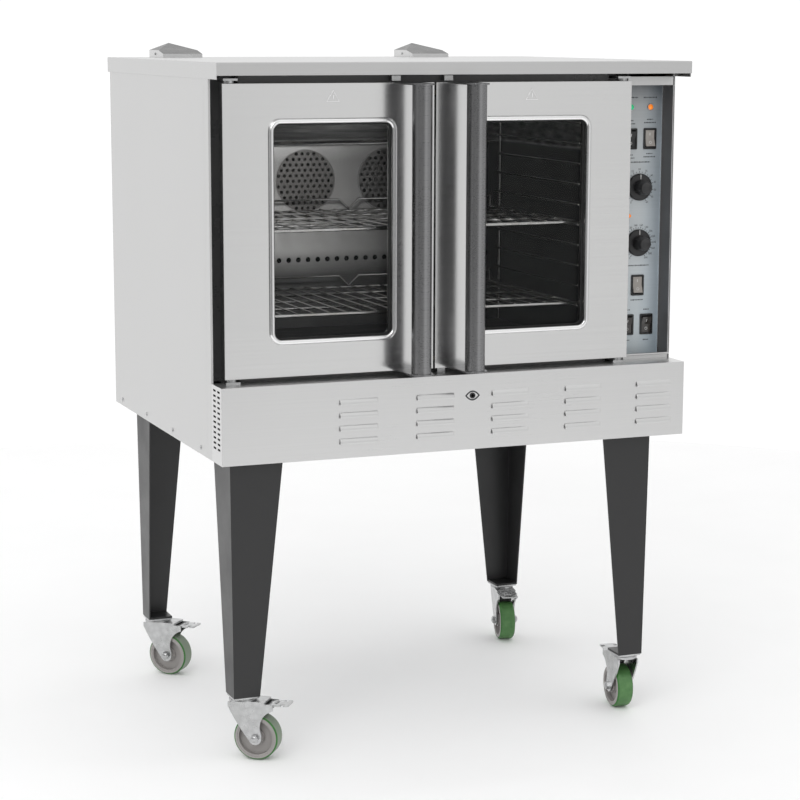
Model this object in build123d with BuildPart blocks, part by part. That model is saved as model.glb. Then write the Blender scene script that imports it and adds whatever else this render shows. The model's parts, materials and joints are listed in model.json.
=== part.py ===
from build123d import *
import os
from math import hypot

# Convection deck oven on castored legs, as separate pieces in one frame.
# Millimetres. +Z up, the doors face -Y, the origin is on the floor under the middle of the
# overall box. Every y place is counted back from the lower panel's face, every z from the floor.

os.makedirs("parts", exist_ok=True)

# ---------------------------------------------------------------- driving sizes
BODY_WIDTH = 965.0          # over the side panels
BODY_DEPTH = 784.7          # lower panel's face to the back panel
COVER_SIDE_OVERHANG = 2.2   # cover past each side panel
COVER_BACK_OVERHANG = 10.3
COVER_FRONT_SKIRT = 24.0
COVER_SIDE_SKIRT = 31.0
SHEET = 1.5                 # outer casing
FRAME_SHEET = 2.0           # folded front frame
FIT = 0.2                   # gap between casing sheets that slide inside each other
RUNNING = 0.06              # radial clearance of pins and shafts that turn

WHEEL_DIA = 88.0
WHEEL_WIDTH = 33.0
WHEEL_CORE_DIA = 77.0
CASTER_HEIGHT = 123.0       # floor to the underside of a leg
CASTER_TRAIL = 30.0
CASTER_PLATE = 3.0
LEG_LENGTH = 456.0
LEG_SHEET = 2.5
LEG_TOP_WIDTH = 104.0
LEG_FOOT_WIDTH = 52.0
LEG_LEAN = 5.0              # the corner's inward lean from top to foot
LEG_LEFT_INSET = 20.5       # body side to the left legs' corner
LEG_RIGHT_INSET = 64.5      # the right legs stand under the cavity, not under the controls
LEG_FRONT_INSET = 18.0
LEG_REAR_INSET = 94.7
LEG_FOOT_PLATE = 4.0

PANEL_HEIGHT = 146.8        # lower front panel
CABINET_SETBACK = 62.9      # lower panel's face to the cabinet's front frame
DOOR_RISE = 9.3             # lower panel's top to the doors' bottom edge
DOOR_HEIGHT = 546.0
DOOR_THICK = 23.1
SEAL_GAP = 2.1              # between a door's back and the front frame
DOOR_LEFT_MARGIN = 18.9     # body side to the left door's outer edge
LEFT_DOOR_WIDTH = 418.3
RIGHT_DOOR_WIDTH = 414.1
DOOR_MEETING_GAP = 4.0
COVER_RISE = 39.1           # doors' top edge to the cover's top
DOOR_SHEET = 1.5
HINGE_INSET = 16.0          # door's outer edge to its pin
HINGE_PIN_DIA = 10.0
HINGE_CHANNEL = 26.0        # depth of the channels that the doors' outer edges swing into

WINDOW_WIDTH = 254.0        # over the rolled trim
WINDOW_HEIGHT = 421.5
WINDOW_SIDE = 88.0          # door's outer edge to the trim
WINDOW_RISE = 60.4          # door's bottom edge to the trim
WINDOW_RADIUS = 22.0
WINDOW_TRIM = 10.0
TRIM_PROUD = 2.0
GLASS = 4.0

HANDLE_DIA = 38.0
HANDLE_WALL = 1.5
HANDLE_STANDOFF = 70.7      # door's face to the tube's axis
HANDLE_INSET = 53.0         # door's meeting edge to the tube's axis
HANDLE_PLATE = 3.0
HANDLE_LIP = 4.5            # how far the end plates reach past the tube
HANDLE_ROOT = 56.0          # width of an end plate at the door's face

CAVITY_WIDTH = 700.0
CAVITY_HEIGHT = 495.0
CAVITY_DEPTH = 555.0        # front frame to the fan wall
CAVITY_RISE = 33.2          # lower panel's top to the cavity floor
BAFFLE_DEPTH = 455.0        # front frame to the perforated baffle
BAFFLE_HEIGHT = 386.0
LINER = 1.5
RACK_DEPTH = 418.0
RACK_SETBACK = 24.0         # front frame to a rack's front bar
RACK_POSITIONS = 10
RACK_PITCH = 40.3
RACK_FIRST_RISE = 78.0      # cavity floor to the lowest runner
UPPER_RACK_POSITION = 5     # runners are counted from 1 at the bottom
LOWER_RACK_POSITION = 1
FAN_SPACING = 184.0
FAN_RISE = 308.0            # cavity floor to the fans' axes
FAN_DIA = 160.0
INTAKE_DIA = 132.0

CONTROL_RECESS = 43.0       # cabinet's front to the fascia
FASCIA_SHEET = 2.0
ROCKER_WIDTH = 20.0
ROCKER_HEIGHT = 34.0
BEZEL_BORDER = 4.0
ROCKER_TILT = 9.0           # either side of level
KNOB_SKIRT_DIA = 54.0
KNOB_GRIP_DIA = 23.0
KNOB_LENGTH = 34.0
PILOT_DIA = 14.0

FLUE_WIDTH = 85.0
FLUE_DEPTH = 110.0
FLUE_HEIGHT = 30.0
FLUE_SPACING = 562.0
FLUE_OFFSET = -72.0         # middle of the two flues
LOUVRE_COLUMNS = 5
LOUVRE_ROWS = 4
LOUVRE_WIDTH = 76.0

# ---------------------------------------------------------------- planes that the sizes give
handle_proud = HANDLE_STANDOFF + HANDLE_DIA / 2 + HANDLE_LIP + SEAL_GAP + DOOR_THICK - CABINET_SETBACK
cover_width = BODY_WIDTH + 2 * COVER_SIDE_OVERHANG
cover_depth = BODY_DEPTH + COVER_BACK_OVERHANG
panel_face = (handle_proud - cover_depth) / 2
body_back = panel_face + BODY_DEPTH
cabinet_face = panel_face + CABINET_SETBACK
door_back = cabinet_face - SEAL_GAP
door_face = door_back - DOOR_THICK
side = BODY_WIDTH / 2
inner_side = side - SHEET

base_z = CASTER_HEIGHT + LEG_LENGTH
panel_top = base_z + PANEL_HEIGHT
door_bottom = panel_top + DOOR_RISE
door_top = door_bottom + DOOR_HEIGHT
cover_top = door_top + COVER_RISE
skirt_front_z = cover_top - COVER_FRONT_SKIRT
skirt_side_z = cover_top - COVER_SIDE_SKIRT
frame_top = cover_top - SHEET - 1.0

left_edge = -side + DOOR_LEFT_MARGIN
meeting = left_edge + LEFT_DOOR_WIDTH + DOOR_MEETING_GAP / 2
right_edge = meeting + DOOR_MEETING_GAP / 2 + RIGHT_DOOR_WIDTH
cavity_x = (left_edge + right_edge) / 2
cavity_floor = panel_top + CAVITY_RISE
cavity_top = cavity_floor + CAVITY_HEIGHT
cavity_back = cabinet_face + CAVITY_DEPTH
cavity_mid_z = cavity_floor + CAVITY_HEIGHT / 2
baffle_y = cabinet_face + BAFFLE_DEPTH
fan_z = cavity_floor + FAN_RISE
hinge_y = (door_face + door_back) / 2
control_left = right_edge + 5.0
fascia_y = cabinet_face + CONTROL_RECESS
control_x = (control_left + inner_side) / 2


def save(piece, name):
    """Labels a finished piece and writes it as its own file."""
    piece.label = name
    export_step(piece, "parts/" + name + ".step")


def block(x0, x1, y0, y1, z0, z1):
    """A square-edged solid between two corners."""
    with BuildPart() as made:
        with BuildSketch(Plane.XY.offset(z0)):
            with Locations(((x0 + x1) / 2, (y0 + y1) / 2)):
                Rectangle(x1 - x0, y1 - y0)
        extrude(amount=z1 - z0)
    return made.part


def rod(start, end, radius):
    """A straight round rod from one point to another."""
    run = Vector(*end) - Vector(*start)
    with BuildPart() as made:
        with BuildSketch(Plane(origin=start, z_dir=run)):
            Circle(radius)
        extrude(amount=run.length)
    return made.part


def group(pieces):
    """Several separate solids that share one node."""
    return Compound(children=[solid for piece in pieces for solid in piece.solids()])


# ---------------------------------------------------------------- casters and legs
hub_z = WHEEL_DIA / 2
FORK_INSIDE = WHEEL_WIDTH + 4.0
FORK_SHEET = 3.0
KINGPIN_DIA = 14.0
AXLE_DIA = 10.0
RACE_DIA = 50.0
CROWN_TOP = CASTER_HEIGHT - CASTER_PLATE - 0.5
CROWN_BOTTOM = CROWN_TOP - 7.0
PEDAL_PIVOT_X = 36.0
PEDAL_PIVOT_Z = 102.0
PEDAL_PIN_DIA = 6.0
PEDAL_REACH = 96.0
PEDAL_THICK = 3.0
PEDAL_NECK = 18.0           # width behind the bar at its tip
PEDAL_BAR = 8.0


def caster_frame(x, y, heading):
    """Where a caster's pieces stand: its swivel axis, turned so that +X is the way it trails."""
    return Location((x, y, 0), (0, 0, heading))


def caster_fork():
    """Swivel race, stamped fork and the wheel's bolt, which clamps in the fork."""
    half = FORK_INSIDE / 2
    with BuildPart() as fork:
        with BuildSketch(Plane.XY.offset(CROWN_TOP - 3)):
            Circle(RACE_DIA / 2)
        extrude(amount=3)
        with BuildSketch(Plane.XY.offset(CROWN_BOTTOM)):
            with BuildLine():
                Polyline((-16, -half - FORK_SHEET), (50, -half - FORK_SHEET),
                         (50, half + FORK_SHEET), (-16, half + FORK_SHEET))
                ThreePointArc((-16, half + FORK_SHEET), (-27, 0), (-16, -half - FORK_SHEET))
            make_face()
        extrude(amount=4)
        for y in (-half - FORK_SHEET, half):
            with BuildSketch(Plane.XZ.offset(-y)):
                with BuildLine():
                    Polyline((-24, CROWN_BOTTOM - 8), (-24, CROWN_BOTTOM), (66, CROWN_BOTTOM),
                             (66, CROWN_BOTTOM - 12))
                    ThreePointArc((66, CROWN_BOTTOM - 12), (48, CROWN_BOTTOM - 24),
                                  (CASTER_TRAIL + 13, hub_z + 8))
                    Line((CASTER_TRAIL + 13, hub_z + 8), (CASTER_TRAIL + 13, hub_z))
                    ThreePointArc((CASTER_TRAIL + 13, hub_z), (CASTER_TRAIL, hub_z - 13),
                                  (CASTER_TRAIL - 12, hub_z - 5))
                    ThreePointArc((CASTER_TRAIL - 12, hub_z - 5), (-8, CROWN_BOTTOM - 36),
                                  (-24, CROWN_BOTTOM - 8))
                make_face()
            extrude(amount=-FORK_SHEET)
        with Locations((0, 0, CROWN_BOTTOM)):
            Cylinder(KINGPIN_DIA / 2 + RUNNING, 40, mode=Mode.SUBTRACT)
        with Locations(Location((CASTER_TRAIL, 0, hub_z), (90, 0, 0))):
            Cylinder(AXLE_DIA / 2, 60, mode=Mode.SUBTRACT)
        with Locations(Location((PEDAL_PIVOT_X, 0, PEDAL_PIVOT_Z), (90, 0, 0))):
            Cylinder(PEDAL_PIN_DIA / 2 + RUNNING, 60, mode=Mode.SUBTRACT)
    outside = half + FORK_SHEET
    with BuildPart() as bolt:
        with BuildSketch(Plane.XZ.offset(-outside)):
            with Locations((CASTER_TRAIL, hub_z)):
                Circle(AXLE_DIA / 2)
        extrude(amount=2 * outside)
        for y in (-outside - 6, outside):
            with BuildSketch(Plane.XZ.offset(-y)):
                with Locations((CASTER_TRAIL, hub_z)):
                    RegularPolygon(8.5, 6)
            extrude(amount=-6)
    return fork.part, bolt.part


def caster_hub():
    """Cast wheel core with a thinner web between its rim and its boss."""
    with BuildPart() as hub:
        with BuildSketch(Plane.XZ.offset(-WHEEL_WIDTH / 2)):
            with Locations((CASTER_TRAIL, hub_z)):
                Circle(WHEEL_CORE_DIA / 2)
                Circle(AXLE_DIA / 2 + RUNNING, mode=Mode.SUBTRACT)
        extrude(amount=WHEEL_WIDTH)
        for y, way in ((-WHEEL_WIDTH / 2, -1), (WHEEL_WIDTH / 2, 1)):
            with BuildSketch(Plane.XZ.offset(-y)):
                with Locations((CASTER_TRAIL, hub_z)):
                    Circle(WHEEL_CORE_DIA / 2 - 5)
                    Circle(15, mode=Mode.SUBTRACT)
            extrude(amount=10 * way, mode=Mode.SUBTRACT)
    return hub.part


def caster_tyre():
    """Polyurethane tread bonded round the core."""
    with BuildPart() as tyre:
        with BuildSketch(Plane.XZ.offset(-WHEEL_WIDTH / 2)):
            with Locations((CASTER_TRAIL, hub_z)):
                Circle(WHEEL_DIA / 2)
                Circle(WHEEL_CORE_DIA / 2, mode=Mode.SUBTRACT)
        extrude(amount=WHEEL_WIDTH)
        rims = tyre.edges().filter_by(GeomType.CIRCLE)
        fillet([e for e in rims if e.radius > WHEEL_DIA / 2 - 1], radius=4)
    return tyre.part


def caster_pedal():
    """Brake lever on a pin across the fork, with its block over the tread."""
    width = FORK_INSIDE - 1.4
    low = WHEEL_DIA + 18.5
    high = low + PEDAL_THICK
    with BuildPart() as pedal:
        with BuildSketch(Plane.XZ.offset(-width / 2)):
            with BuildLine():
                Polyline((24, low), (52, low), (62, low + 2), (PEDAL_REACH, low + 4),
                         (PEDAL_REACH, high + 4), (61, high + 2), (51, high), (24, high), close=True)
            make_face()
        extrude(amount=width)
        with BuildSketch(Plane.XZ.offset(-12)):
            with BuildLine():
                Polyline((28, low), (46, low), (46, WHEEL_DIA + 7), (40, WHEEL_DIA + 1),
                         (31, WHEEL_DIA + 1), (28, WHEEL_DIA + 6), close=True)
            make_face()
        extrude(amount=24)
        reach = FORK_INSIDE / 2 + FORK_SHEET
        with BuildSketch(Plane.XZ.offset(-reach)):
            with Locations((PEDAL_PIVOT_X, PEDAL_PIVOT_Z)):
                Circle(PEDAL_PIN_DIA / 2)
        extrude(amount=2 * reach)
        with BuildSketch(Plane.XY.offset(low)):
            for way in (-1, 1):
                with Locations((PEDAL_REACH - 1.5 * PEDAL_BAR, way * (width + PEDAL_NECK) / 4)):
                    RectangleRounded(PEDAL_BAR, (width - PEDAL_NECK) / 2, 2)
            with Locations((PEDAL_REACH - 3.5 * PEDAL_BAR, 0)):
                RectangleRounded(PEDAL_BAR, PEDAL_NECK, 2)
        extrude(amount=PEDAL_THICK + 4, mode=Mode.SUBTRACT)
        fillet(pedal.edges().filter_by(Axis.Z).group_by(Axis.X)[-1], radius=3)
    return pedal.part


def leg(x, y, sx, sy):
    """Tapered angle, open towards the oven's middle, with a mounting flange and a foot plate."""
    top, foot = LEG_TOP_WIDTH, LEG_FOOT_WIDTH

    def angle_points(width, inset):
        near, t = inset, LEG_SHEET
        shape = [(near, near), (near + width, near), (near + width, near + t),
                 (near + t, near + t), (near + t, near + width), (near, near + width)]
        return [(x + sx * a, y + sy * b) for a, b in shape]

    foot_inner = x + sx * (LEG_LEAN + LEG_SHEET)
    foot_inner_y = y + sy * (LEG_LEAN + LEG_SHEET)
    reach = foot - LEG_SHEET - 1
    with BuildPart() as made:
        with BuildSketch(Plane.XY.offset(CASTER_HEIGHT)):
            with BuildLine():
                Polyline(*angle_points(foot, LEG_LEAN), close=True)
            make_face()
        with BuildSketch(Plane.XY.offset(base_z)):
            with BuildLine():
                Polyline(*angle_points(top, 0), close=True)
            make_face()
        loft(ruled=True)
        with BuildSketch(Plane.XY.offset(CASTER_HEIGHT)):
            with Locations((foot_inner + sx * (reach / 2 - 1), foot_inner_y + sy * (reach / 2 - 1))):
                Rectangle(reach + 2, reach + 2)
        extrude(amount=LEG_FOOT_PLATE)
        with BuildSketch(Plane.XY.offset(base_z - LEG_SHEET)):
            with Locations((x + sx * top / 2, y + sy * top / 2)):
                Rectangle(top - 2, top - 2)
        extrude(amount=LEG_SHEET)
    return made.part


leg_left = -side + LEG_LEFT_INSET
leg_right = side - LEG_RIGHT_INSET
leg_front = panel_face + LEG_FRONT_INSET
leg_rear = body_back - LEG_REAR_INSET
swivel_inset = LEG_LEAN + LEG_FOOT_WIDTH / 2
# name: corner x and y, the signs towards the oven's middle, and the way the caster trails
corners = {
    "front_left": (leg_left, leg_front, 1, 1, -36.5),
    "front_right": (leg_right, leg_front, -1, 1, 84.0),
    "rear_left": (leg_left, leg_rear, 1, -1, -43.8),
    "rear_right": (leg_right, leg_rear, -1, -1, -102.4),
}
plates = []
for place, (x, y, sx, sy, heading) in corners.items():
    at = caster_frame(x + sx * swivel_inset, y + sy * swivel_inset, heading)
    save(leg(x, y, sx, sy), "leg_" + place)
    fork, bolt = caster_fork()
    save(group([at * fork, at * bolt]), "caster_fork_" + place)
    save(at * caster_hub(), "wheel_core_" + place)
    save(at * caster_tyre(), "wheel_tread_" + place)
    save(at * caster_pedal(), "brake_pedal_" + place)
    with BuildPart() as plate:
        with BuildSketch(Plane.XY.offset(CASTER_HEIGHT - CASTER_PLATE)):
            with Locations(tuple(at.position)[:2]):
                RectangleRounded(LEG_FOOT_WIDTH, LEG_FOOT_WIDTH, 6)
        extrude(amount=CASTER_PLATE)
        with BuildSketch(Plane.XY.offset(CROWN_BOTTOM - 1)):
            with Locations(tuple(at.position)[:2]):
                Circle(KINGPIN_DIA / 2)
        extrude(amount=CASTER_HEIGHT - CASTER_PLATE - CROWN_BOTTOM + 1)
    plates.append(plate.part)
save(group(plates), "caster_plates")

# ---------------------------------------------------------------- casing
trim_depth = 29.3           # front trims, from the cabinet's face back to the side panels
trim_back = cabinet_face + trim_depth
panel_back = body_back - SHEET
cover_under = cover_top - SHEET

side_top = skirt_side_z + 12.0
side_front = trim_back + FIT
SIDE_RETURN = 12.0
with BuildPart() as base_pan:
    add(block(-inner_side + FIT, inner_side - FIT, side_front + SHEET + FIT, panel_back - FIT, base_z,
              base_z + 2 * SHEET))
    add(block(-inner_side + SIDE_RETURN + FIT, inner_side - SIDE_RETURN - FIT, cabinet_face + FIT,
              side_front + SHEET + FIT, base_z, base_z + 2 * SHEET))
save(base_pan.part, "base_pan")

with BuildPart() as left_side_panel:
    add(block(-side, -inner_side, side_front, panel_back, base_z, side_top))
    add(block(-inner_side, -inner_side + SIDE_RETURN, side_front, side_front + SHEET, base_z, side_top))
save(left_side_panel.part, "left_side_panel")
save(block(inner_side, side, side_front, panel_back, base_z, side_top), "right_side_panel")

VENT_LENGTH = 20.0
VENT_HEIGHT = 5.0
VENT_PITCH_X = 26.0
VENT_PITCH_Z = 14.0
VENT_RISE = 60.0
INLET_INSET = 70.0
INLET_RISE = 60.0
INLET_HOLE_DIA = 34.0
inlet_x = inner_side - INLET_INSET
inlet_z = base_z + INLET_RISE
with BuildPart() as back_panel:
    with BuildSketch(Plane.XZ.offset(-body_back)):
        with Locations((0, (base_z + cover_under) / 2)):
            Rectangle(BODY_WIDTH, cover_under - base_z)
    extrude(amount=SHEET)
    with BuildSketch(Plane.XZ.offset(-body_back)):
        with Locations((cavity_x, fan_z)):
            with GridLocations(VENT_PITCH_X, VENT_PITCH_Z, 12, 8):
                SlotOverall(VENT_LENGTH, VENT_HEIGHT)
        with Locations((cavity_x, base_z + VENT_RISE)):
            with GridLocations(VENT_PITCH_X, VENT_PITCH_Z, 16, 3):
                SlotOverall(VENT_LENGTH, VENT_HEIGHT)
        with Locations((inlet_x, inlet_z)):
            Circle(INLET_HOLE_DIA / 2)
    extrude(amount=SHEET, mode=Mode.SUBTRACT)
save(back_panel.part, "back_panel")

with BuildPart() as top_cover:
    with BuildSketch(Plane.XY.offset(skirt_side_z)):
        with Locations((0, panel_face + cover_depth / 2)):
            Rectangle(cover_width, cover_depth)
    extrude(amount=COVER_SIDE_SKIRT)
    fillet(top_cover.edges().group_by(Axis.Z)[-1], radius=2)
    with BuildSketch(Plane.XY.offset(skirt_side_z)):
        with Locations((0, panel_face + cover_depth / 2)):
            Rectangle(cover_width - 2 * SHEET, cover_depth - 2 * SHEET)
    extrude(amount=COVER_SIDE_SKIRT - SHEET, mode=Mode.SUBTRACT)
    with BuildSketch(Plane.XY.offset(skirt_side_z)):
        with Locations((0, panel_face)):
            Rectangle(cover_width + 2, 2 * SHEET + 4)
    extrude(amount=skirt_front_z - skirt_side_z, mode=Mode.SUBTRACT)
save(top_cover.part, "top_cover")

# flue caps: a low collar under a roof that falls from a gable at the back to a straight front edge
flue_mid_y = body_back - FLUE_DEPTH / 2
hoods = []
for flue_x in (FLUE_OFFSET - FLUE_SPACING / 2, FLUE_OFFSET + FLUE_SPACING / 2):
    with BuildPart() as hood:
        with BuildSketch(Plane.XZ.offset(-(flue_mid_y + FLUE_DEPTH / 2))):
            with BuildLine():
                Polyline((flue_x - FLUE_WIDTH / 2, cover_top), (flue_x + FLUE_WIDTH / 2, cover_top),
                         (flue_x + FLUE_WIDTH / 2, cover_top + FLUE_HEIGHT / 2),
                         (flue_x, cover_top + FLUE_HEIGHT),
                         (flue_x - FLUE_WIDTH / 2, cover_top + FLUE_HEIGHT / 2), close=True)
            make_face()
        extrude(amount=FLUE_DEPTH)
        roof = Plane(origin=(flue_x, flue_mid_y - FLUE_DEPTH / 2, cover_top + FLUE_HEIGHT / 4),
                     x_dir=(1, 0, 0), z_dir=(0, -FLUE_HEIGHT * 0.75, FLUE_DEPTH))
        split(bisect_by=roof, keep=Keep.BOTTOM)
    hoods.append(hood.part)
save(group(hoods), "flue_caps")

# lower front panel: a closed-ended channel with pressed louvres, side vent slots and a sight hole
LOUVRE_PITCH_X = 156.75
LOUVRE_PITCH_Z = 25.0
LOUVRE_MID_X = 101.0
LOUVRE_RISE = 68.5
SLOT_ROWS = 12
SLOT_PITCH = 9.87
SLOT_SPACING = 26.0
SLOT_RISE = 83.0
SLOT_LENGTH = 16.0
SLOT_HEIGHT = 4.0
SIGHT_HOLE_X = 21.8
SIGHT_HOLE_RISE = 105.0
louvre_mid_z = base_z + LOUVRE_RISE
louvre_rows = [louvre_mid_z + (i - (LOUVRE_ROWS - 1) / 2) * LOUVRE_PITCH_Z for i in range(LOUVRE_ROWS)]
with BuildPart() as lower_front_panel:
    with BuildSketch(Plane.XY.offset(base_z)):
        with Locations((0, panel_face + CABINET_SETBACK / 2)):
            Rectangle(BODY_WIDTH, CABINET_SETBACK)
    extrude(amount=PANEL_HEIGHT)
    with BuildSketch(Plane.XY.offset(base_z + SHEET)):
        with Locations((0, panel_face + SHEET + CABINET_SETBACK / 2)):
            Rectangle(BODY_WIDTH - 2 * SHEET, CABINET_SETBACK)
    extrude(amount=PANEL_HEIGHT - 2 * SHEET, mode=Mode.SUBTRACT)
    for column in range(LOUVRE_COLUMNS):
        start = LOUVRE_MID_X + (column - (LOUVRE_COLUMNS - 1) / 2) * LOUVRE_PITCH_X - LOUVRE_WIDTH / 2
        with BuildSketch(Plane.YZ.offset(start)):
            for z in louvre_rows:
                with BuildLine():
                    ThreePointArc((panel_face, z + 7), (panel_face - 3.2, z + 3), (panel_face - 4.2, z - 4))
                    Line((panel_face - 4.2, z - 4), (panel_face - 3.0, z - 4))
                    ThreePointArc((panel_face - 3.0, z - 4), (panel_face - 2.1, z + 2), (panel_face, z + 5))
                    Line((panel_face, z + 5), (panel_face, z + 7))
                make_face()
        extrude(amount=LOUVRE_WIDTH)
    with BuildSketch(Plane.XZ.offset(-panel_face)):
        with Locations((LOUVRE_MID_X, louvre_mid_z)):
            with GridLocations(LOUVRE_PITCH_X, LOUVRE_PITCH_Z, LOUVRE_COLUMNS, LOUVRE_ROWS):
                Rectangle(LOUVRE_WIDTH - 2, 8)
        with Locations((SIGHT_HOLE_X, base_z + SIGHT_HOLE_RISE)):
            Circle(4)
    extrude(amount=-SHEET, mode=Mode.SUBTRACT)
    with BuildSketch(Plane.YZ.offset(-side)):
        with Locations((panel_face + CABINET_SETBACK / 2, base_z + SLOT_RISE)):
            with GridLocations(SLOT_SPACING, SLOT_PITCH, 2, SLOT_ROWS):
                Rectangle(SLOT_LENGTH, SLOT_HEIGHT)
    extrude(amount=BODY_WIDTH, mode=Mode.SUBTRACT)
save(lower_front_panel.part, "lower_front_panel")

# front frame: one folded sheet with a channel outside each hinge line and a wall beside the controls
swing_radius = hypot(HINGE_INSET, DOOR_THICK / 2) + 2.0
frame_left = left_edge + HINGE_INSET + swing_radius
frame_right = right_edge - HINGE_INSET - swing_radius
channel_back = cabinet_face + HINGE_CHANNEL
control_wall_back = fascia_y + 60.0
t = FRAME_SHEET
frame_strips = [
    (-inner_side + FIT, frame_left + t, channel_back - t, channel_back),
    (frame_left, frame_left + t, cabinet_face, channel_back),
    (frame_left, frame_right, cabinet_face, cabinet_face + t),
    (frame_right - t, frame_right, cabinet_face, channel_back),
    (frame_right - t, control_left, channel_back - t, channel_back),
    (control_left - t, control_left, cabinet_face, control_wall_back),
]
with BuildPart() as front_frame:
    with BuildSketch(Plane.XY.offset(panel_top)):
        for x0, x1, y0, y1 in frame_strips:
            with Locations(((x0 + x1) / 2, (y0 + y1) / 2)):
                Rectangle(x1 - x0, y1 - y0)
    extrude(amount=frame_top - panel_top)
    with BuildSketch(Plane.XZ.offset(-cabinet_face)):
        with Locations((cavity_x, cavity_mid_z)):
            Rectangle(CAVITY_WIDTH, CAVITY_HEIGHT)
    extrude(amount=-t, mode=Mode.SUBTRACT)
save(front_frame.part, "front_frame")

# narrow trims at the cabinet's front corners, and the folded strips above and below the controls
with BuildPart() as left_trim:
    with BuildSketch(Plane.XY.offset(base_z)):
        with BuildLine():
            Polyline((-side, cabinet_face), (-side + 4, cabinet_face), (-side + 4, cabinet_face + SHEET),
                     (-inner_side, cabinet_face + SHEET), (-inner_side, trim_back), (-side, trim_back),
                     close=True)
        make_face()
    extrude(amount=side_top - base_z)
right_trim = mirror(left_trim.part, about=Plane.YZ)
fascia_low = panel_top + 5.0
fascia_high = door_top - 10.0
with BuildPart() as top_bracket:
    with BuildSketch(Plane.YZ.offset(control_left + FIT)):
        with BuildLine():
            Polyline((cabinet_face, fascia_high + 1), (fascia_y, fascia_high + 1),
                     (fascia_y, fascia_high + 1 + SHEET), (cabinet_face + SHEET, fascia_high + 1 + SHEET),
                     (cabinet_face + SHEET, door_top + 8), (cabinet_face, door_top + 8), close=True)
        make_face()
    extrude(amount=inner_side - control_left - 2 * FIT)
with BuildPart() as hinge_strip:
    with BuildSketch(Plane.YZ.offset(control_left + FIT)):
        with BuildLine():
            Polyline((cabinet_face, panel_top), (fascia_y, panel_top), (fascia_y, panel_top + SHEET),
                     (cabinet_face + SHEET, panel_top + SHEET), (cabinet_face + SHEET, panel_top + 9),
                     (cabinet_face, panel_top + 9), close=True)
        make_face()
        with Locations((cabinet_face + 1, panel_top + 9)):
            Circle(2.4)
    extrude(amount=inner_side - control_left - 2 * FIT)
save(group([left_trim.part, right_trim, top_bracket.part, hinge_strip.part]), "front_trims")

# dome-headed screws: along the foot of each side panel and round the back panel
SCREW_HEAD_DIA = 9.0
SCREW_HEAD = 2.0
screw_rows = [body_back - 57.0 - i * 196.5 for i in range(4)]
screw_z = base_z + 13.0


def screw(at):
    """Head on +Z of its place, shank the other way."""
    with BuildPart() as made:
        Cylinder(SCREW_HEAD_DIA / 2, SCREW_HEAD, align=(Align.CENTER, Align.CENTER, Align.MIN))
        fillet(made.edges().group_by(Axis.Z)[-1], radius=1.6)
    return at * made.part


screws = []
for y in screw_rows:
    screws.append(screw(Location((-side, y, screw_z), (0, -90, 0))))
    screws.append(screw(Location((side, y, screw_z), (0, 90, 0))))
for z in (base_z + 20, (base_z + cover_under) / 2, skirt_side_z - 20):
    for x in (-side + 20, 0, side - 20):
        screws.append(screw(Location((x, body_back, z), (-90, 0, 0))))
save(group(screws), "panel_screws")

# ---------------------------------------------------------------- cavity and what it holds
cavity_left = cavity_x - CAVITY_WIDTH / 2
cavity_right = cavity_x + CAVITY_WIDTH / 2
fan_centres = [cavity_x - FAN_SPACING / 2, cavity_x + FAN_SPACING / 2]
SHAFT_DIA = 12.0

with BuildPart() as cavity_liner:
    with BuildSketch(Plane.XZ.offset(-cabinet_face - t)):
        with Locations((cavity_x, cavity_mid_z)):
            Rectangle(CAVITY_WIDTH + 2 * LINER, CAVITY_HEIGHT + 2 * LINER)
    extrude(amount=-(CAVITY_DEPTH + LINER - t))
    with BuildSketch(Plane.XZ.offset(-cabinet_face - t)):
        with Locations((cavity_x, cavity_mid_z)):
            Rectangle(CAVITY_WIDTH, CAVITY_HEIGHT)
    extrude(amount=-(CAVITY_DEPTH - t), mode=Mode.SUBTRACT)
    with BuildSketch(Plane.XZ.offset(-cavity_back)):
        with Locations(*[(x, fan_z) for x in fan_centres]):
            Circle(SHAFT_DIA / 2 + 3)
    extrude(amount=-LINER, mode=Mode.SUBTRACT)
save(cavity_liner.part, "cavity_liner")

# baffle: two staggered perforated intakes, a row of discharge holes near its foot, a folded top lip
INTAKE_PITCH = 13.0
INTAKE_HOLE_DIA = 7.6
DISCHARGE_HOLES = 31
DISCHARGE_PITCH = 21.5
DISCHARGE_RISE = 143.0
BAFFLE_LIP = 12.0
row_step = INTAKE_PITCH * 0.866
rows = int(INTAKE_DIA / 2 / row_step)
intake_holes = []
for row in range(-rows, rows + 1):
    for column in range(-rows - 1, rows + 2):
        hole = ((column + 0.5 * (row % 2)) * INTAKE_PITCH, row * row_step)
        if hypot(*hole) < INTAKE_DIA / 2 - INTAKE_HOLE_DIA / 2:
            intake_holes.append(hole)
with BuildPart() as fan_baffle:
    with BuildSketch(Plane.XZ.offset(-baffle_y)):
        with Locations((cavity_x, cavity_floor + BAFFLE_HEIGHT / 2)):
            Rectangle(CAVITY_WIDTH - 2 * FIT, BAFFLE_HEIGHT)
        for fan_x in fan_centres:
            with Locations(*[(fan_x + dx, fan_z + dz) for dx, dz in intake_holes]):
                Circle(INTAKE_HOLE_DIA / 2, mode=Mode.SUBTRACT)
        with Locations((cavity_x, cavity_floor + DISCHARGE_RISE)):
            with GridLocations(DISCHARGE_PITCH, 1, DISCHARGE_HOLES, 1):
                Circle(5.5, mode=Mode.SUBTRACT)
    extrude(amount=-SHEET)
    with BuildSketch(Plane.XZ.offset(-baffle_y)):
        with Locations((cavity_x, cavity_floor + BAFFLE_HEIGHT - SHEET / 2)):
            Rectangle(CAVITY_WIDTH - 2 * FIT, SHEET)
    extrude(amount=BAFFLE_LIP)
save(fan_baffle.part, "fan_baffle")

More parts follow.
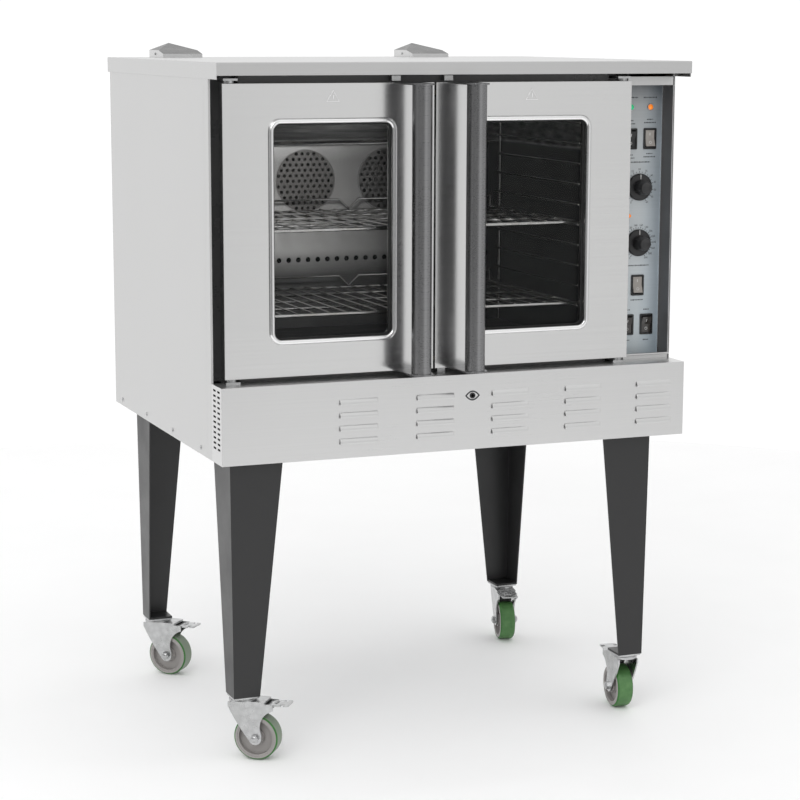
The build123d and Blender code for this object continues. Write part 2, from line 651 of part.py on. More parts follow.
# wire guides: two uprights a side, with a runner bent inwards at each position
UPRIGHT_R = 3.0
RUNNER_R = 2.5
UPRIGHT_OFF_WALL = 6.0
RUNNER_OFF_WALL = 20.0
runner_front = cabinet_face + 22.0
runner_back = baffle_y - 22.0
runner_heights = [cavity_floor + RACK_FIRST_RISE + i * RACK_PITCH for i in range(RACK_POSITIONS)]
guides = []
for wall, inward in ((cavity_left, 1), (cavity_right, -1)):
    upright_x = wall + inward * UPRIGHT_OFF_WALL
    runner_x = wall + inward * RUNNER_OFF_WALL
    with BuildPart() as guide:
        for y in (runner_front, runner_back):
            add(rod((upright_x, y, cavity_floor), (upright_x, y, runner_heights[-1] + 14), UPRIGHT_R))
            for z in (runner_heights[0] - 30, runner_heights[-1] + 8):
                add(rod((wall, y, z), (upright_x, y, z), RUNNER_R))
        for z in runner_heights:
            add(rod((upright_x, runner_front, z), (runner_x, runner_front, z), RUNNER_R))
            add(rod((upright_x, runner_back, z), (runner_x, runner_back, z), RUNNER_R))
            add(rod((runner_x, runner_front, z), (runner_x, runner_back, z), RUNNER_R))
            with Locations((runner_x, runner_front, z), (runner_x, runner_back, z)):
                Sphere(RUNNER_R)
    guides.append(guide.part)
save(group(guides), "rack_guides")

# wire racks: heavy front bar, two side rods, cross bars, long wires on top, a raised back stop
RACK_BAR_R = 3.5
RACK_SIDE_R = 3.0
RACK_WIRE_R = 1.8
RACK_WIRES = 19
RACK_WIRE_PITCH = 32.5
RACK_CROSS_BARS = 3
RACK_LIFT = 0.3
BACK_STOP_RISE = 24.0
rack_front = cabinet_face + RACK_SETBACK
rack_back = rack_front + RACK_DEPTH
rack_side_x = CAVITY_WIDTH / 2 - RUNNER_OFF_WALL + 1.0


def rack(position):
    z = runner_heights[position - 1] + RUNNER_R + RACK_LIFT + RACK_SIDE_R
    left, right = cavity_x - rack_side_x, cavity_x + rack_side_x
    wire_z = z + RACK_SIDE_R + RACK_WIRE_R * 0.4
    stop_z = z + BACK_STOP_RISE
    with BuildPart() as made:
        bar_z = z + RACK_BAR_R - RACK_SIDE_R
        add(rod((left, rack_front, bar_z), (right, rack_front, bar_z), RACK_BAR_R))
        add(rod((left, rack_back, z), (right, rack_back, z), RACK_SIDE_R))
        for x in (left, right):
            add(rod((x, rack_front, z), (x, rack_back, z), RACK_SIDE_R))
            with Locations((x, rack_front, bar_z)):
                Sphere(RACK_BAR_R)
            with Locations((x, rack_back, z)):
                Sphere(RACK_SIDE_R)
        for i in range(1, RACK_CROSS_BARS + 1):
            y = rack_front + i * RACK_DEPTH / (RACK_CROSS_BARS + 1)
            add(rod((left, y, z), (right, y, z), RACK_SIDE_R - 0.3))
        for i in range(RACK_WIRES):
            x = cavity_x + (i - (RACK_WIRES - 1) / 2) * RACK_WIRE_PITCH
            add(rod((x, rack_front, wire_z), (x, rack_back, wire_z), RACK_WIRE_R))
        stop = [(left + 6, rack_back, z), (left + 6, rack_back, stop_z),
                (cavity_x - 22, rack_back, stop_z), (cavity_x, rack_back, z + 4),
                (cavity_x + 22, rack_back, stop_z), (right - 6, rack_back, stop_z),
                (right - 6, rack_back, z)]
        for start, end in zip(stop, stop[1:]):
            add(rod(start, end, 2.2))
        with Locations(*stop[1:-1]):
            Sphere(2.2)
    return made.part


save(rack(UPPER_RACK_POSITION), "upper_rack")
save(rack(LOWER_RACK_POSITION), "lower_rack")

# centrifugal fans: back plate, radial blades and a shaft that runs into the motor
FAN_BLADES = 8
FAN_BLADE_DEPTH = 42.0
FAN_PLATE_GAP = 16.0        # fan's back plate to the cavity's rear wall
REAR_INSULATION = 25.0
MOTOR_DIA = 118.0
MOTOR_LENGTH = 88.0
MOTOR_FLANGE = 3.0
motor_face = cavity_back + LINER + REAR_INSULATION
fan_plate_y = cavity_back - FAN_PLATE_GAP
for name, fan_x in (("fan_wheel_left", fan_centres[0]), ("fan_wheel_right", fan_centres[1])):
    with BuildPart() as fan:
        with BuildSketch(Plane.XZ.offset(-fan_plate_y)):
            with Locations((fan_x, fan_z)):
                Circle(FAN_DIA / 2)
        extrude(amount=-2)
        with BuildSketch(Plane.XZ.offset(-fan_plate_y)):
            with Locations((fan_x, fan_z)):
                with PolarLocations(FAN_DIA / 2 - 24, FAN_BLADES):
                    Rectangle(44, 2)
        extrude(amount=FAN_BLADE_DEPTH)
        with BuildSketch(Plane.XZ.offset(-fan_plate_y)):
            with Locations((fan_x, fan_z)):
                Circle(14)
        extrude(amount=22)
        with BuildSketch(Plane.XZ.offset(-fan_plate_y)):
            with Locations((fan_x, fan_z)):
                Circle(SHAFT_DIA / 2)
        extrude(amount=-(motor_face + 50 - fan_plate_y))
    save(fan.part, name)

motors = []
for fan_x in fan_centres:
    with BuildPart() as motor:
        with BuildSketch(Plane.XZ.offset(-motor_face)):
            with Locations((fan_x, fan_z)):
                RectangleRounded(140, 140, 10)
        extrude(amount=-MOTOR_FLANGE)
        with BuildSketch(Plane.XZ.offset(-motor_face)):
            with Locations((fan_x, fan_z)):
                Circle(MOTOR_DIA / 2)
        extrude(amount=-MOTOR_LENGTH)
        fillet(motor.edges().group_by(Axis.Y)[-1], radius=8)
        with BuildSketch(Plane.XZ.offset(-motor_face)):
            with Locations((fan_x, fan_z)):
                Circle(SHAFT_DIA / 2 + RUNNING)
        extrude(amount=-51, mode=Mode.SUBTRACT)
    motors.append(motor.part)
    for dx in (-60, 60):
        for dz in (-60, 60):
            foot = (fan_x + dx, cavity_back + LINER, fan_z + dz)
            motors.append(rod(foot, (foot[0], motor_face, foot[2]), 4))
save(group(motors), "fan_motors")

# mineral-wool slabs round the cavity, and the woven seal that the doors close on
SEAL_WIDTH = 9.0
SEAL_THICK = 1.5
slab_front = max(channel_back, side_front) + 6.0
with BuildPart() as rear_slab:
    with BuildSketch(Plane.XZ.offset(-cavity_back - LINER)):
        with Locations((cavity_x, cavity_mid_z)):
            Rectangle(CAVITY_WIDTH, CAVITY_HEIGHT)
        for fan_x in fan_centres:
            with Locations((fan_x, fan_z)):
                Circle(SHAFT_DIA / 2 + 4, mode=Mode.SUBTRACT)
                with GridLocations(120, 120, 2, 2):
                    Circle(4.2, mode=Mode.SUBTRACT)
    extrude(amount=-(REAR_INSULATION - 0.5))
with BuildPart() as seal:
    with BuildSketch(Plane.XZ.offset(-cabinet_face)):
        with Locations((cavity_x, cavity_mid_z)):
            RectangleRounded(CAVITY_WIDTH + 2 * SEAL_WIDTH + 6, CAVITY_HEIGHT + 2 * SEAL_WIDTH + 6, 12)
            RectangleRounded(CAVITY_WIDTH + 6, CAVITY_HEIGHT + 6, 6, mode=Mode.SUBTRACT)
    extrude(amount=SEAL_THICK)
slab_top = cover_under - 2
left_slab = block(-inner_side + 2, cavity_left - LINER, slab_front, cavity_back,
                  cavity_floor - LINER, cavity_top + LINER)
right_slab = block(cavity_right + LINER, control_left - t - 1, slab_front, cavity_back,
                   cavity_floor - LINER, cavity_top + LINER)
top_slab = block(-inner_side + 2, control_left - t - 1, slab_front, cavity_back,
                 cavity_top + LINER, slab_top)
save(group([rear_slab.part, left_slab, right_slab, top_slab, seal.part]), "insulation")

# gas burners on their posts, the manifold, the valve and the inlet pipe
BURNER_DIA = 42.0
BURNER_PITCH = 200.0
BURNER_RISE = 90.0
INLET_DIA = 26.0
burner_z = base_z + BURNER_RISE
burner_front = cabinet_face + 70.0
burner_back = cavity_back - 60.0
manifold_y = cabinet_face + 45.0
gas = []
pan_top = base_z + 2 * SHEET
for i in (-1, 0, 1):
    x = cavity_x + i * BURNER_PITCH
    gas.append(rod((x, burner_front, burner_z), (x, burner_back, burner_z), BURNER_DIA / 2))
    gas.append(rod((x, manifold_y, burner_z), (x, burner_front, burner_z), 5))
    for y in (burner_front + 20, burner_back - 20):
        gas.append(block(x - 12, x + 12, y - 2, y + 2, pan_top, burner_z - BURNER_DIA / 2))
valve_x = cavity_right + 60.0
manifold = rod((cavity_x - BURNER_PITCH - 30, manifold_y, burner_z), (valve_x - 30, manifold_y, burner_z), 11)
gas.append(manifold)
gas.append(block(valve_x - 30, valve_x + 30, manifold_y - 25, manifold_y + 25, burner_z - 30, burner_z + 40))
elbow_y = manifold_y + 60
with BuildPart() as inlet:
    add(rod((inlet_x, elbow_y, inlet_z), (inlet_x, body_back + 8, inlet_z), INLET_DIA / 2))
    add(rod((inlet_x, elbow_y, inlet_z), (valve_x, elbow_y, inlet_z), INLET_DIA / 2))
    add(rod((valve_x, elbow_y, inlet_z), (valve_x, manifold_y + 25, inlet_z), INLET_DIA / 2))
    with Locations((inlet_x, elbow_y, inlet_z), (valve_x, elbow_y, inlet_z)):
        Sphere(INLET_DIA / 2)
gas.append(inlet.part)
with BuildPart() as gas_set:
    for piece in gas:
        add(piece)
save(gas_set.part, "gas_burners")

# ---------------------------------------------------------------- doors
PIN_REACH = 24.0
PIN_BORE_DEPTH = 28.0
HINGE_BLOCK = 30.0
BRACKET = 4.0


def door(name, outer, way, width):
    """One door; `way` is +1 where x grows from the outer edge to the meeting edge."""
    def x_at(u):
        return outer + way * u

    mid_x, mid_z = x_at(width / 2), (door_bottom + door_top) / 2
    window_x = x_at(WINDOW_SIDE + WINDOW_WIDTH / 2)
    window_z = door_bottom + WINDOW_RISE + WINDOW_HEIGHT / 2
    opening = (WINDOW_WIDTH - 2 * WINDOW_TRIM, WINDOW_HEIGHT - 2 * WINDOW_TRIM, WINDOW_RADIUS - WINDOW_TRIM)
    pin_x = x_at(HINGE_INSET)
    wall = DOOR_SHEET
    liner_y = door_back - wall

    with BuildPart() as shell:
        with BuildSketch(Plane.XZ.offset(-door_face)):
            with Locations((mid_x, mid_z)):
                Rectangle(width, DOOR_HEIGHT)
        extrude(amount=-DOOR_THICK)
        with BuildSketch(Plane.XZ.offset(-door_face - wall)):
            with Locations((mid_x, mid_z)):
                Rectangle(width - 2 * wall, DOOR_HEIGHT - 2 * wall)
        extrude(amount=-DOOR_THICK, mode=Mode.SUBTRACT)
        for z in (door_bottom + wall + HINGE_BLOCK / 2, door_top - wall - HINGE_BLOCK / 2):
            with BuildSketch(Plane.XZ.offset(-door_face - wall)):
                with Locations((x_at(wall + HINGE_BLOCK / 2), z)):
                    Rectangle(HINGE_BLOCK, HINGE_BLOCK)
            extrude(amount=-(DOOR_THICK - 2 * wall - FIT))
        with BuildSketch(Plane.XZ.offset(-door_face)):
            with Locations((window_x, window_z)):
                RectangleRounded(opening[0] + 2 * wall, opening[1] + 2 * wall, opening[2] + wall)
        extrude(amount=-wall, mode=Mode.SUBTRACT)
        for z, up in ((door_bottom, 1), (door_top, -1)):
            with BuildSketch(Plane.XY.offset(z)):
                with Locations((pin_x, hinge_y)):
                    Circle(HINGE_PIN_DIA / 2 + RUNNING)
            extrude(amount=up * PIN_BORE_DEPTH, mode=Mode.SUBTRACT)
    with BuildPart() as trim:
        with BuildSketch(Plane.XZ.offset(-door_face + TRIM_PROUD)):
            with Locations((window_x, window_z)):
                RectangleRounded(WINDOW_WIDTH, WINDOW_HEIGHT, WINDOW_RADIUS)
        extrude(amount=-TRIM_PROUD)
        fillet(trim.edges().group_by(Axis.Y)[0], radius=1.2)
        with BuildSketch(Plane.XZ.offset(-door_face)):
            with Locations((window_x, window_z)):
                RectangleRounded(opening[0] + 2 * wall, opening[1] + 2 * wall, opening[2] + wall)
        extrude(amount=-(DOOR_THICK - wall))
        with BuildSketch(Plane.XZ.offset(-door_face + TRIM_PROUD)):
            with Locations((window_x, window_z)):
                RectangleRounded(*opening)
        extrude(amount=-(DOOR_THICK + TRIM_PROUD), mode=Mode.SUBTRACT)
    save(group([shell.part, trim.part]), name + "_door_shell")

    with BuildPart() as liner:
        with BuildSketch(Plane.XZ.offset(-liner_y)):
            with Locations((mid_x, mid_z)):
                Rectangle(width - 2 * wall - 2 * FIT, DOOR_HEIGHT - 2 * wall - 2 * FIT)
            with Locations((window_x, window_z)):
                RectangleRounded(*opening, mode=Mode.SUBTRACT)
        extrude(amount=-wall)
    save(liner.part, name + "_door_liner")

    panes = []
    for y in (door_face + DOOR_THICK - wall - 2 * GLASS - 2.5, door_face + DOOR_THICK - wall - GLASS):
        with BuildPart() as pane:
            with BuildSketch(Plane.XZ.offset(-y)):
                with Locations((window_x, window_z)):
                    RectangleRounded(opening[0] - 2 * FIT, opening[1] - 2 * FIT, opening[2] - FIT)
            extrude(amount=-GLASS)
        panes.append(pane.part)
    save(group(panes), name + "_door_glass")

    axis_x = x_at(width - HANDLE_INSET)
    axis_y = door_face - HANDLE_STANDOFF
    with BuildPart() as tube:
        with BuildSketch(Plane.XY.offset(door_bottom + HANDLE_PLATE)):
            with Locations((axis_x, axis_y)):
                Circle(HANDLE_DIA / 2)
                Circle(HANDLE_DIA / 2 - HANDLE_WALL, mode=Mode.SUBTRACT)
        extrude(amount=DOOR_HEIGHT - 2 * HANDLE_PLATE)
    end, root = HANDLE_DIA / 2 + HANDLE_LIP, HANDLE_ROOT / 2
    plates = []
    for z in (door_bottom, door_top - HANDLE_PLATE):
        with BuildPart() as plate:
            with BuildSketch(Plane.XY.offset(z)):
                with BuildLine():
                    Polyline((axis_x - end, axis_y), (axis_x - root, door_face), (axis_x + root, door_face),
                             (axis_x + end, axis_y))
                    ThreePointArc((axis_x + end, axis_y), (axis_x, axis_y - end), (axis_x - end, axis_y))
                make_face()
            extrude(amount=HANDLE_PLATE)
        plates.append(plate.part)
    save(group([tube.part, *plates]), name + "_door_handle")

    # fixed brackets, washers and pins that carry this door
    hardware = []
    for z, up in ((panel_top, 1), (door_top + DOOR_RISE, -1)):
        with BuildPart() as bracket:
            with BuildSketch(Plane.XY.offset(z)):
                with Locations((pin_x, (hinge_y - 12 + channel_back - t) / 2)):
                    Rectangle(28, channel_back - t - hinge_y + 12)
            extrude(amount=up * BRACKET)
            with BuildSketch(Plane.XY.offset(z + up * BRACKET)):
                with Locations((pin_x, hinge_y)):
                    Circle(10)
            extrude(amount=up * (DOOR_RISE - BRACKET - 0.4))
            with BuildSketch(Plane.XY.offset(z)):
                with Locations((pin_x, hinge_y)):
                    Circle(HINGE_PIN_DIA / 2)
            extrude(amount=up * (DOOR_RISE + PIN_REACH))
        hardware.append(bracket.part)
    return hardware


hardware = door("left", left_edge, 1, LEFT_DOOR_WIDTH)
hardware += door("right", right_edge, -1, RIGHT_DOOR_WIDTH)
for x in (meeting - 75, meeting + 32):
    hardware.append(block(x - 9, x + 9, cabinet_face - 14, cabinet_face, door_top + 3, door_top + 13))
hardware.append(block(meeting + 10, meeting + 26, cabinet_face - 18, cabinet_face, panel_top, panel_top + 8))
save(group(hardware), "door_hardware")

# ---------------------------------------------------------------- controls
left_column = control_x - 21.5
right_column = control_x + 21.5
UPPER_SWITCH_RISE = 439.0   # all heights here are above the lower panel's top
TIMER_RISE = 342.5
THERMOSTAT_RISE = 230.5
MIDDLE_SWITCH_RISE = 144.5
LOWER_SWITCH_RISE = 64.5
PILOT_RISE = 502.0
SMALL_PILOT_RISE = 285.0
PIVOT_DEPTH = 3.0           # fascia to a rocker's pivot
switches = {
    "rocker_upper_left": (left_column, panel_top + UPPER_SWITCH_RISE, 1),
    "rocker_upper_right": (right_column, panel_top + UPPER_SWITCH_RISE, -1),
    "rocker_middle": (control_x, panel_top + MIDDLE_SWITCH_RISE, -1),
    "rocker_lower_left": (left_column, panel_top + LOWER_SWITCH_RISE, 1),
    "rocker_lower_right": (right_column, panel_top + LOWER_SWITCH_RISE, 1),
}
knobs = {"timer_knob": panel_top + TIMER_RISE, "thermostat_knob": panel_top + THERMOSTAT_RISE}
pilots = [(left_column, panel_top + PILOT_RISE, PILOT_DIA / 2),
          (right_column, panel_top + PILOT_RISE, PILOT_DIA / 2),
          (left_column, panel_top + SMALL_PILOT_RISE, PILOT_DIA / 3)]
body_width = ROCKER_WIDTH + 4.0
body_height = ROCKER_HEIGHT + 4.0
pivot_y = fascia_y + PIVOT_DEPTH

with BuildPart() as control_fascia:
    with BuildSketch(Plane.XZ.offset(-fascia_y)):
        with Locations((control_x, (fascia_low + fascia_high) / 2)):
            Rectangle(inner_side - control_left - 2 * FIT, fascia_high - fascia_low)
        for x, z, _ in switches.values():
            with Locations((x, z)):
                Rectangle(body_width + 2 * FIT, body_height + 2 * FIT, mode=Mode.SUBTRACT)
        for z in knobs.values():
            with Locations((control_x, z)):
                Circle(5, mode=Mode.SUBTRACT)
        for x, z, r in pilots:
            with Locations((x, z)):
                Circle(r - 2 + FIT, mode=Mode.SUBTRACT)
    extrude(amount=-FASCIA_SHEET)
save(control_fascia.part, "control_fascia")

bodies = []
for name, (x, z, tilt) in switches.items():
    with BuildPart() as housing:
        with BuildSketch(Plane.XZ.offset(-fascia_y)):
            with Locations((x, z)):
                RectangleRounded(ROCKER_WIDTH + 2 * BEZEL_BORDER, ROCKER_HEIGHT + 2 * BEZEL_BORDER, 2)
        extrude(amount=2.5)
        with BuildSketch(Plane.XZ.offset(-fascia_y)):
            with Locations((x, z)):
                Rectangle(body_width, body_height)
        extrude(amount=-26)
        with BuildSketch(Plane.XZ.offset(-fascia_y + 2.5)):
            with Locations((x, z)):
                Rectangle(ROCKER_WIDTH + 0.8, ROCKER_HEIGHT + 0.8)
        extrude(amount=-(2.5 + PIVOT_DEPTH + 9), mode=Mode.SUBTRACT)
        with BuildSketch(Plane.YZ.offset(x - ROCKER_WIDTH / 2 - 1.6)):
            with Locations((pivot_y, z)):
                Circle(1.5 + RUNNING)
        extrude(amount=ROCKER_WIDTH + 3.2, mode=Mode.SUBTRACT)
    bodies.append(housing.part)
    half = ROCKER_HEIGHT / 2 - 0.8
    with BuildPart() as rocker:
        with BuildSketch(Plane(origin=(x - ROCKER_WIDTH / 2, pivot_y, z), x_dir=(0, 1, 0), z_dir=(1, 0, 0))):
            with BuildLine():
                Polyline((-6.6, half), (-4, 0), (-6.6, -half), (1, -half + 2), (6, -5), (6, 5),
                         (1, half - 2), close=True)
            make_face()
        extrude(amount=ROCKER_WIDTH)
        with BuildSketch(Plane(origin=(x - ROCKER_WIDTH / 2 - 1.3, pivot_y, z), z_dir=(1, 0, 0))):
            Circle(1.5)
        extrude(amount=ROCKER_WIDTH + 2.6)
    turned = rocker.part.rotate(Axis((x, pivot_y, z), (1, 0, 0)), tilt * ROCKER_TILT)
    save(turned, name)

for name, z in knobs.items():
    with BuildPart() as timer_body:
        with BuildSketch(Plane.XZ.offset(-fascia_y - FASCIA_SHEET)):
            with Locations((control_x, z)):
                RectangleRounded(46, 46, 4)
        extrude(amount=-38)
        with BuildSketch(Plane.XZ.offset(-fascia_y - FASCIA_SHEET)):
            with Locations((control_x, z)):
                Circle(3 + RUNNING)
        extrude(amount=-20, mode=Mode.SUBTRACT)
    bodies.append(timer_body.part)
    with BuildPart() as knob:
        with BuildSketch(Plane.XZ.offset(-fascia_y + 1)):
            with Locations((control_x, z)):
                Circle(KNOB_SKIRT_DIA / 2)
        extrude(amount=5)
        chamfer(knob.edges().group_by(Axis.Y)[0], length=2.5)
        with BuildSketch(Plane.XZ.offset(-fascia_y + 6)):
            with Locations((control_x, z)):
                Circle(KNOB_GRIP_DIA / 2 + 4)
        extrude(amount=KNOB_LENGTH - 6, taper=6)
        fillet(knob.edges().group_by(Axis.Y)[0], radius=1.5)
        with BuildSketch(Plane.XZ.offset(-fascia_y + 1)):
            with Locations((control_x, z)):
                Circle(3)
        extrude(amount=-(1 + FASCIA_SHEET + 18))
    save(knob.part, name)
save(group(bodies), "switch_bodies")

lamps = []
for x, z, r in pilots:
    with BuildPart() as lamp:
        with BuildSketch(Plane.XZ.offset(-fascia_y)):
            with Locations((x, z)):
                Circle(r)
        extrude(amount=4)
        fillet(lamp.edges().group_by(Axis.Y)[0], radius=2)
        with BuildSketch(Plane.XZ.offset(-fascia_y)):
            with Locations((x, z)):
                Circle(r - 2)
        extrude(amount=-20)
    lamps.append(lamp.part)
save(group(lamps), "pilot_lights")
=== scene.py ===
import json
import math
import bmesh
import bpy
from mathutils import Matrix, Vector


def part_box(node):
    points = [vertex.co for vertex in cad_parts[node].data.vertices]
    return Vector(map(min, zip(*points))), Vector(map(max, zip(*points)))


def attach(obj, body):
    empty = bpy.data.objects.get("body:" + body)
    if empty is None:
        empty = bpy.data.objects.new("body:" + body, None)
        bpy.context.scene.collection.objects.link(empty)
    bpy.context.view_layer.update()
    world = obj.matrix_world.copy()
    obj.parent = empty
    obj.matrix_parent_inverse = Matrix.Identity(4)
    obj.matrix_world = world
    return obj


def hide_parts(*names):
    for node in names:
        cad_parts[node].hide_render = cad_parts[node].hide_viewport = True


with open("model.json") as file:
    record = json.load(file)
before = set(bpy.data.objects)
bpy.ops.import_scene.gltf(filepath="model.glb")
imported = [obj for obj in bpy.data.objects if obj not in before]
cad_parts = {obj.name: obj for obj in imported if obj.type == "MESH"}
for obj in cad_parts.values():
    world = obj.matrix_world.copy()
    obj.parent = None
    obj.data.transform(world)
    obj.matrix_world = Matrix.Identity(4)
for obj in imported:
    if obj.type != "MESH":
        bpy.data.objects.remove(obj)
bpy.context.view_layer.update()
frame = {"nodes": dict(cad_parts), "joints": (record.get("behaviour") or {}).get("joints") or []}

JOINTS = {joint["name"]: joint for joint in frame["joints"]}
CORNERS = ("front_left", "front_right", "rear_left", "rear_right")
ROOT = "oven_body"
FRONT = Vector((0, -1, 0))
FLUTED_FROM = 0.8           # share of a profile's widest radius from which its ripple applies


# ---------------------------------------------------------------- mesh helpers
def new_piece(name, bm, body, material, slot, smooth=True):
    """Turns a bmesh into an object that rides on a body."""
    bmesh.ops.remove_doubles(bm, verts=bm.verts, dist=1e-6)
    bmesh.ops.recalc_face_normals(bm, faces=bm.faces)
    mesh = bpy.data.meshes.new(name)
    bm.to_mesh(mesh)
    bm.free()
    piece = bpy.data.objects.new(name, mesh)
    bpy.context.scene.collection.objects.link(piece)
    mesh.materials.append(material)
    if smooth:
        mesh.shade_smooth()
        mesh.set_sharp_from_angle(angle=math.radians(35))
    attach(piece, body)
    return piece


def placed(origin, z_axis, x_axis=None):
    """A matrix that puts local +Z along z_axis at origin, with local X towards x_axis or a world axis."""
    z = Vector(z_axis).normalized()
    if x_axis is None:
        x_axis = (1, 0, 0) if abs(z.x) < 0.9 else (0, 1, 0)
    y = z.cross(Vector(x_axis)).normalized()
    x = y.cross(z)
    matrix = Matrix((x, y, z)).transposed().to_4x4()
    matrix.translation = Vector(origin)
    return matrix


def lathe(bm, profile, matrix, steps, ripple=0.0, ripples=0):
    """Turns a closed (radius, height) profile round local Z; ripple flutes its outermost points."""
    rings = []
    widest = max(r for r, _ in profile)
    for i in range(steps):
        angle = 2 * math.pi * i / steps
        wave = 1 + ripple * math.cos(angle * ripples)
        ring = []
        for r, h in profile:
            radius = r * wave if ripples and r > FLUTED_FROM * widest else r
            point = Vector((radius * math.cos(angle), radius * math.sin(angle), h))
            ring.append(bm.verts.new(matrix @ point))
        rings.append(ring)
    count = len(profile)
    for i in range(steps):
        for k in range(count):
            a, b = rings[i][k], rings[i][(k + 1) % count]
            c, d = rings[(i + 1) % steps][(k + 1) % count], rings[(i + 1) % steps][k]
            bm.faces.new((a, b, c, d))


def turned(name, profile, matrix, steps, body, material, slot, **fluting):
    """A lathed piece."""
    bm = bmesh.new()
    lathe(bm, profile, matrix, steps, **fluting)
    return new_piece(name, bm, body, material, slot)


def prism(bm, outline, matrix, depth):
    """Pushes a flat outline along local Z."""
    low = [bm.verts.new(matrix @ Vector((x, y, 0))) for x, y in outline]
    high = [bm.verts.new(matrix @ Vector((x, y, depth))) for x, y in outline]
    bm.faces.new(low[::-1])
    bm.faces.new(high)
    for i in range(len(outline)):
        j = (i + 1) % len(outline)
        bm.faces.new((low[i], low[j], high[j], high[i]))


def oblong(left, low, right, high):
    """Outline of a rectangle between two corners."""
    return [(left, low), (right, low), (right, high), (left, high)]


def slab(bm, low, high):
    """A square-edged block between two corners."""
    prism(bm, oblong(low[0], low[1], high[0], high[1]), Matrix.Translation((0, 0, low[2])), high[2] - low[2])


def rounded(width, height, radius, steps=6):
    """Outline of a rounded rectangle about the origin."""
    points = []
    for quarter, (sx, sy) in enumerate(((1, 1), (-1, 1), (-1, -1), (1, -1))):
        cx, cy = sx * (width / 2 - radius), sy * (height / 2 - radius)
        for i in range(steps + 1):
            angle = math.pi / 2 * (quarter + i / steps)
            points.append((cx + radius * math.cos(angle), cy + radius * math.sin(angle)))
    return points


def frame_ring(bm, outer, inner, matrix, depth):
    """A flat ring between two outlines of equal point count, pushed along local Z."""
    rows = []
    for outline, h in ((outer, 0), (outer, depth), (inner, depth), (inner, 0)):
        rows.append([bm.verts.new(matrix @ Vector((x, y, h))) for x, y in outline])
    count = len(outer)
    for a, b in zip(rows, rows[1:] + rows[:1]):
        for i in range(count):
            j = (i + 1) % count
            bm.faces.new((a[i], a[j], b[j], b[i]))


# ---------------------------------------------------------------- materials
def connect(tree, value, socket):
    """Feeds a socket from another node's output, or with a plain value."""
    if isinstance(value, bpy.types.NodeSocket):
        tree.links.new(value, socket)
    else:
        socket.default_value = value


def maths(tree, operation, *values):
    made = tree.nodes.new("ShaderNodeMath")
    made.operation = operation
    for socket, value in zip(made.inputs, values):
        connect(tree, value, socket)
    return made.outputs[0]


def cosine(tree, vector, direction):
    """Dot product of a unit vector and a fixed direction."""
    made = tree.nodes.new("ShaderNodeVectorMath")
    made.operation = "DOT_PRODUCT"
    tree.links.new(vector, made.inputs[0])
    made.inputs[1].default_value = direction
    return made.outputs["Value"]


class Finish:
    """One procedural material: object coordinates feed its noises, ramps and bump."""

    def __init__(self, name, metallic, roughness, **sockets):
        self.material = bpy.data.materials.new(name)
        self.material.use_nodes = True
        self.tree = self.material.node_tree
        self.shader = self.tree.nodes["Principled BSDF"]
        self.shader.inputs["Metallic"].default_value = metallic
        self.shader.inputs["Roughness"].default_value = roughness
        for socket, value in sockets.items():
            self.shader.inputs[socket.replace("_", " ")].default_value = value
        places = self.tree.nodes.new("ShaderNodeTexCoord").outputs
        self.coords, self.normal = places["Object"], places["Normal"]

    def node(self, kind, **inputs):
        made = self.tree.nodes.new(kind)
        for socket, value in inputs.items():
            connect(self.tree, value, made.inputs[socket.replace("_", " ")])
        return made

    def noise(self, scale, stretch=(1, 1, 1), detail=3.0, roughness=0.6):
        mapped = self.node("ShaderNodeMapping", Vector=self.coords, Scale=stretch).outputs["Vector"]
        made = self.node("ShaderNodeTexNoise", Vector=mapped, Scale=scale, Detail=detail, Roughness=roughness)
        return made.outputs["Fac"]

    def spread(self, value, low, high, start=0.3, end=0.7):
        made = self.node("ShaderNodeMapRange", Value=value, From_Min=start, From_Max=end,
                         To_Min=low, To_Max=high)
        return made.outputs["Result"]

    def ramp(self, value, *stops):
        made = self.node("ShaderNodeValToRGB", Fac=value)
        while len(made.color_ramp.elements) < len(stops):
            made.color_ramp.elements.new(0.5)
        for element, (place, colour) in zip(made.color_ramp.elements, stops):
            element.position = place
            element.color = (*colour, 1)
        return made.outputs["Color"]

    def mix(self, factor, first, second, blend="MIX"):
        made = self.tree.nodes.new("ShaderNodeMix")
        made.data_type = "RGBA"
        made.blend_type = blend
        # a mix node's colours are its inputs 6 and 7 and its output 2
        for socket, value in zip((0, 6, 7), (factor, first, second)):
            connect(self.tree, (*value, 1) if isinstance(value, tuple) else value, made.inputs[socket])
        return made.outputs[2]

    def maths(self, operation, *values):
        return maths(self.tree, operation, *values)

    def axis(self, name):
        return self.node("ShaderNodeSeparateXYZ", Vector=self.coords).outputs[name]

    def feed(self, socket, value):
        self.tree.links.new(value, self.shader.inputs[socket])

    def bump(self, height, strength, distance, edge=0.0):
        made = self.node("ShaderNodeBump", Height=height, Strength=strength, Distance=distance)
        if edge:
            bevel = self.node("ShaderNodeBevel", Radius=edge)
            bevel.samples = 4
            self.tree.links.new(bevel.outputs["Normal"], made.inputs["Normal"])
        self.feed("Normal", made.outputs["Normal"])


def grey(value):
    return (value, value, value)


def scaled(colour, factor):
    return tuple(min(1.0, c * factor) for c in colour)


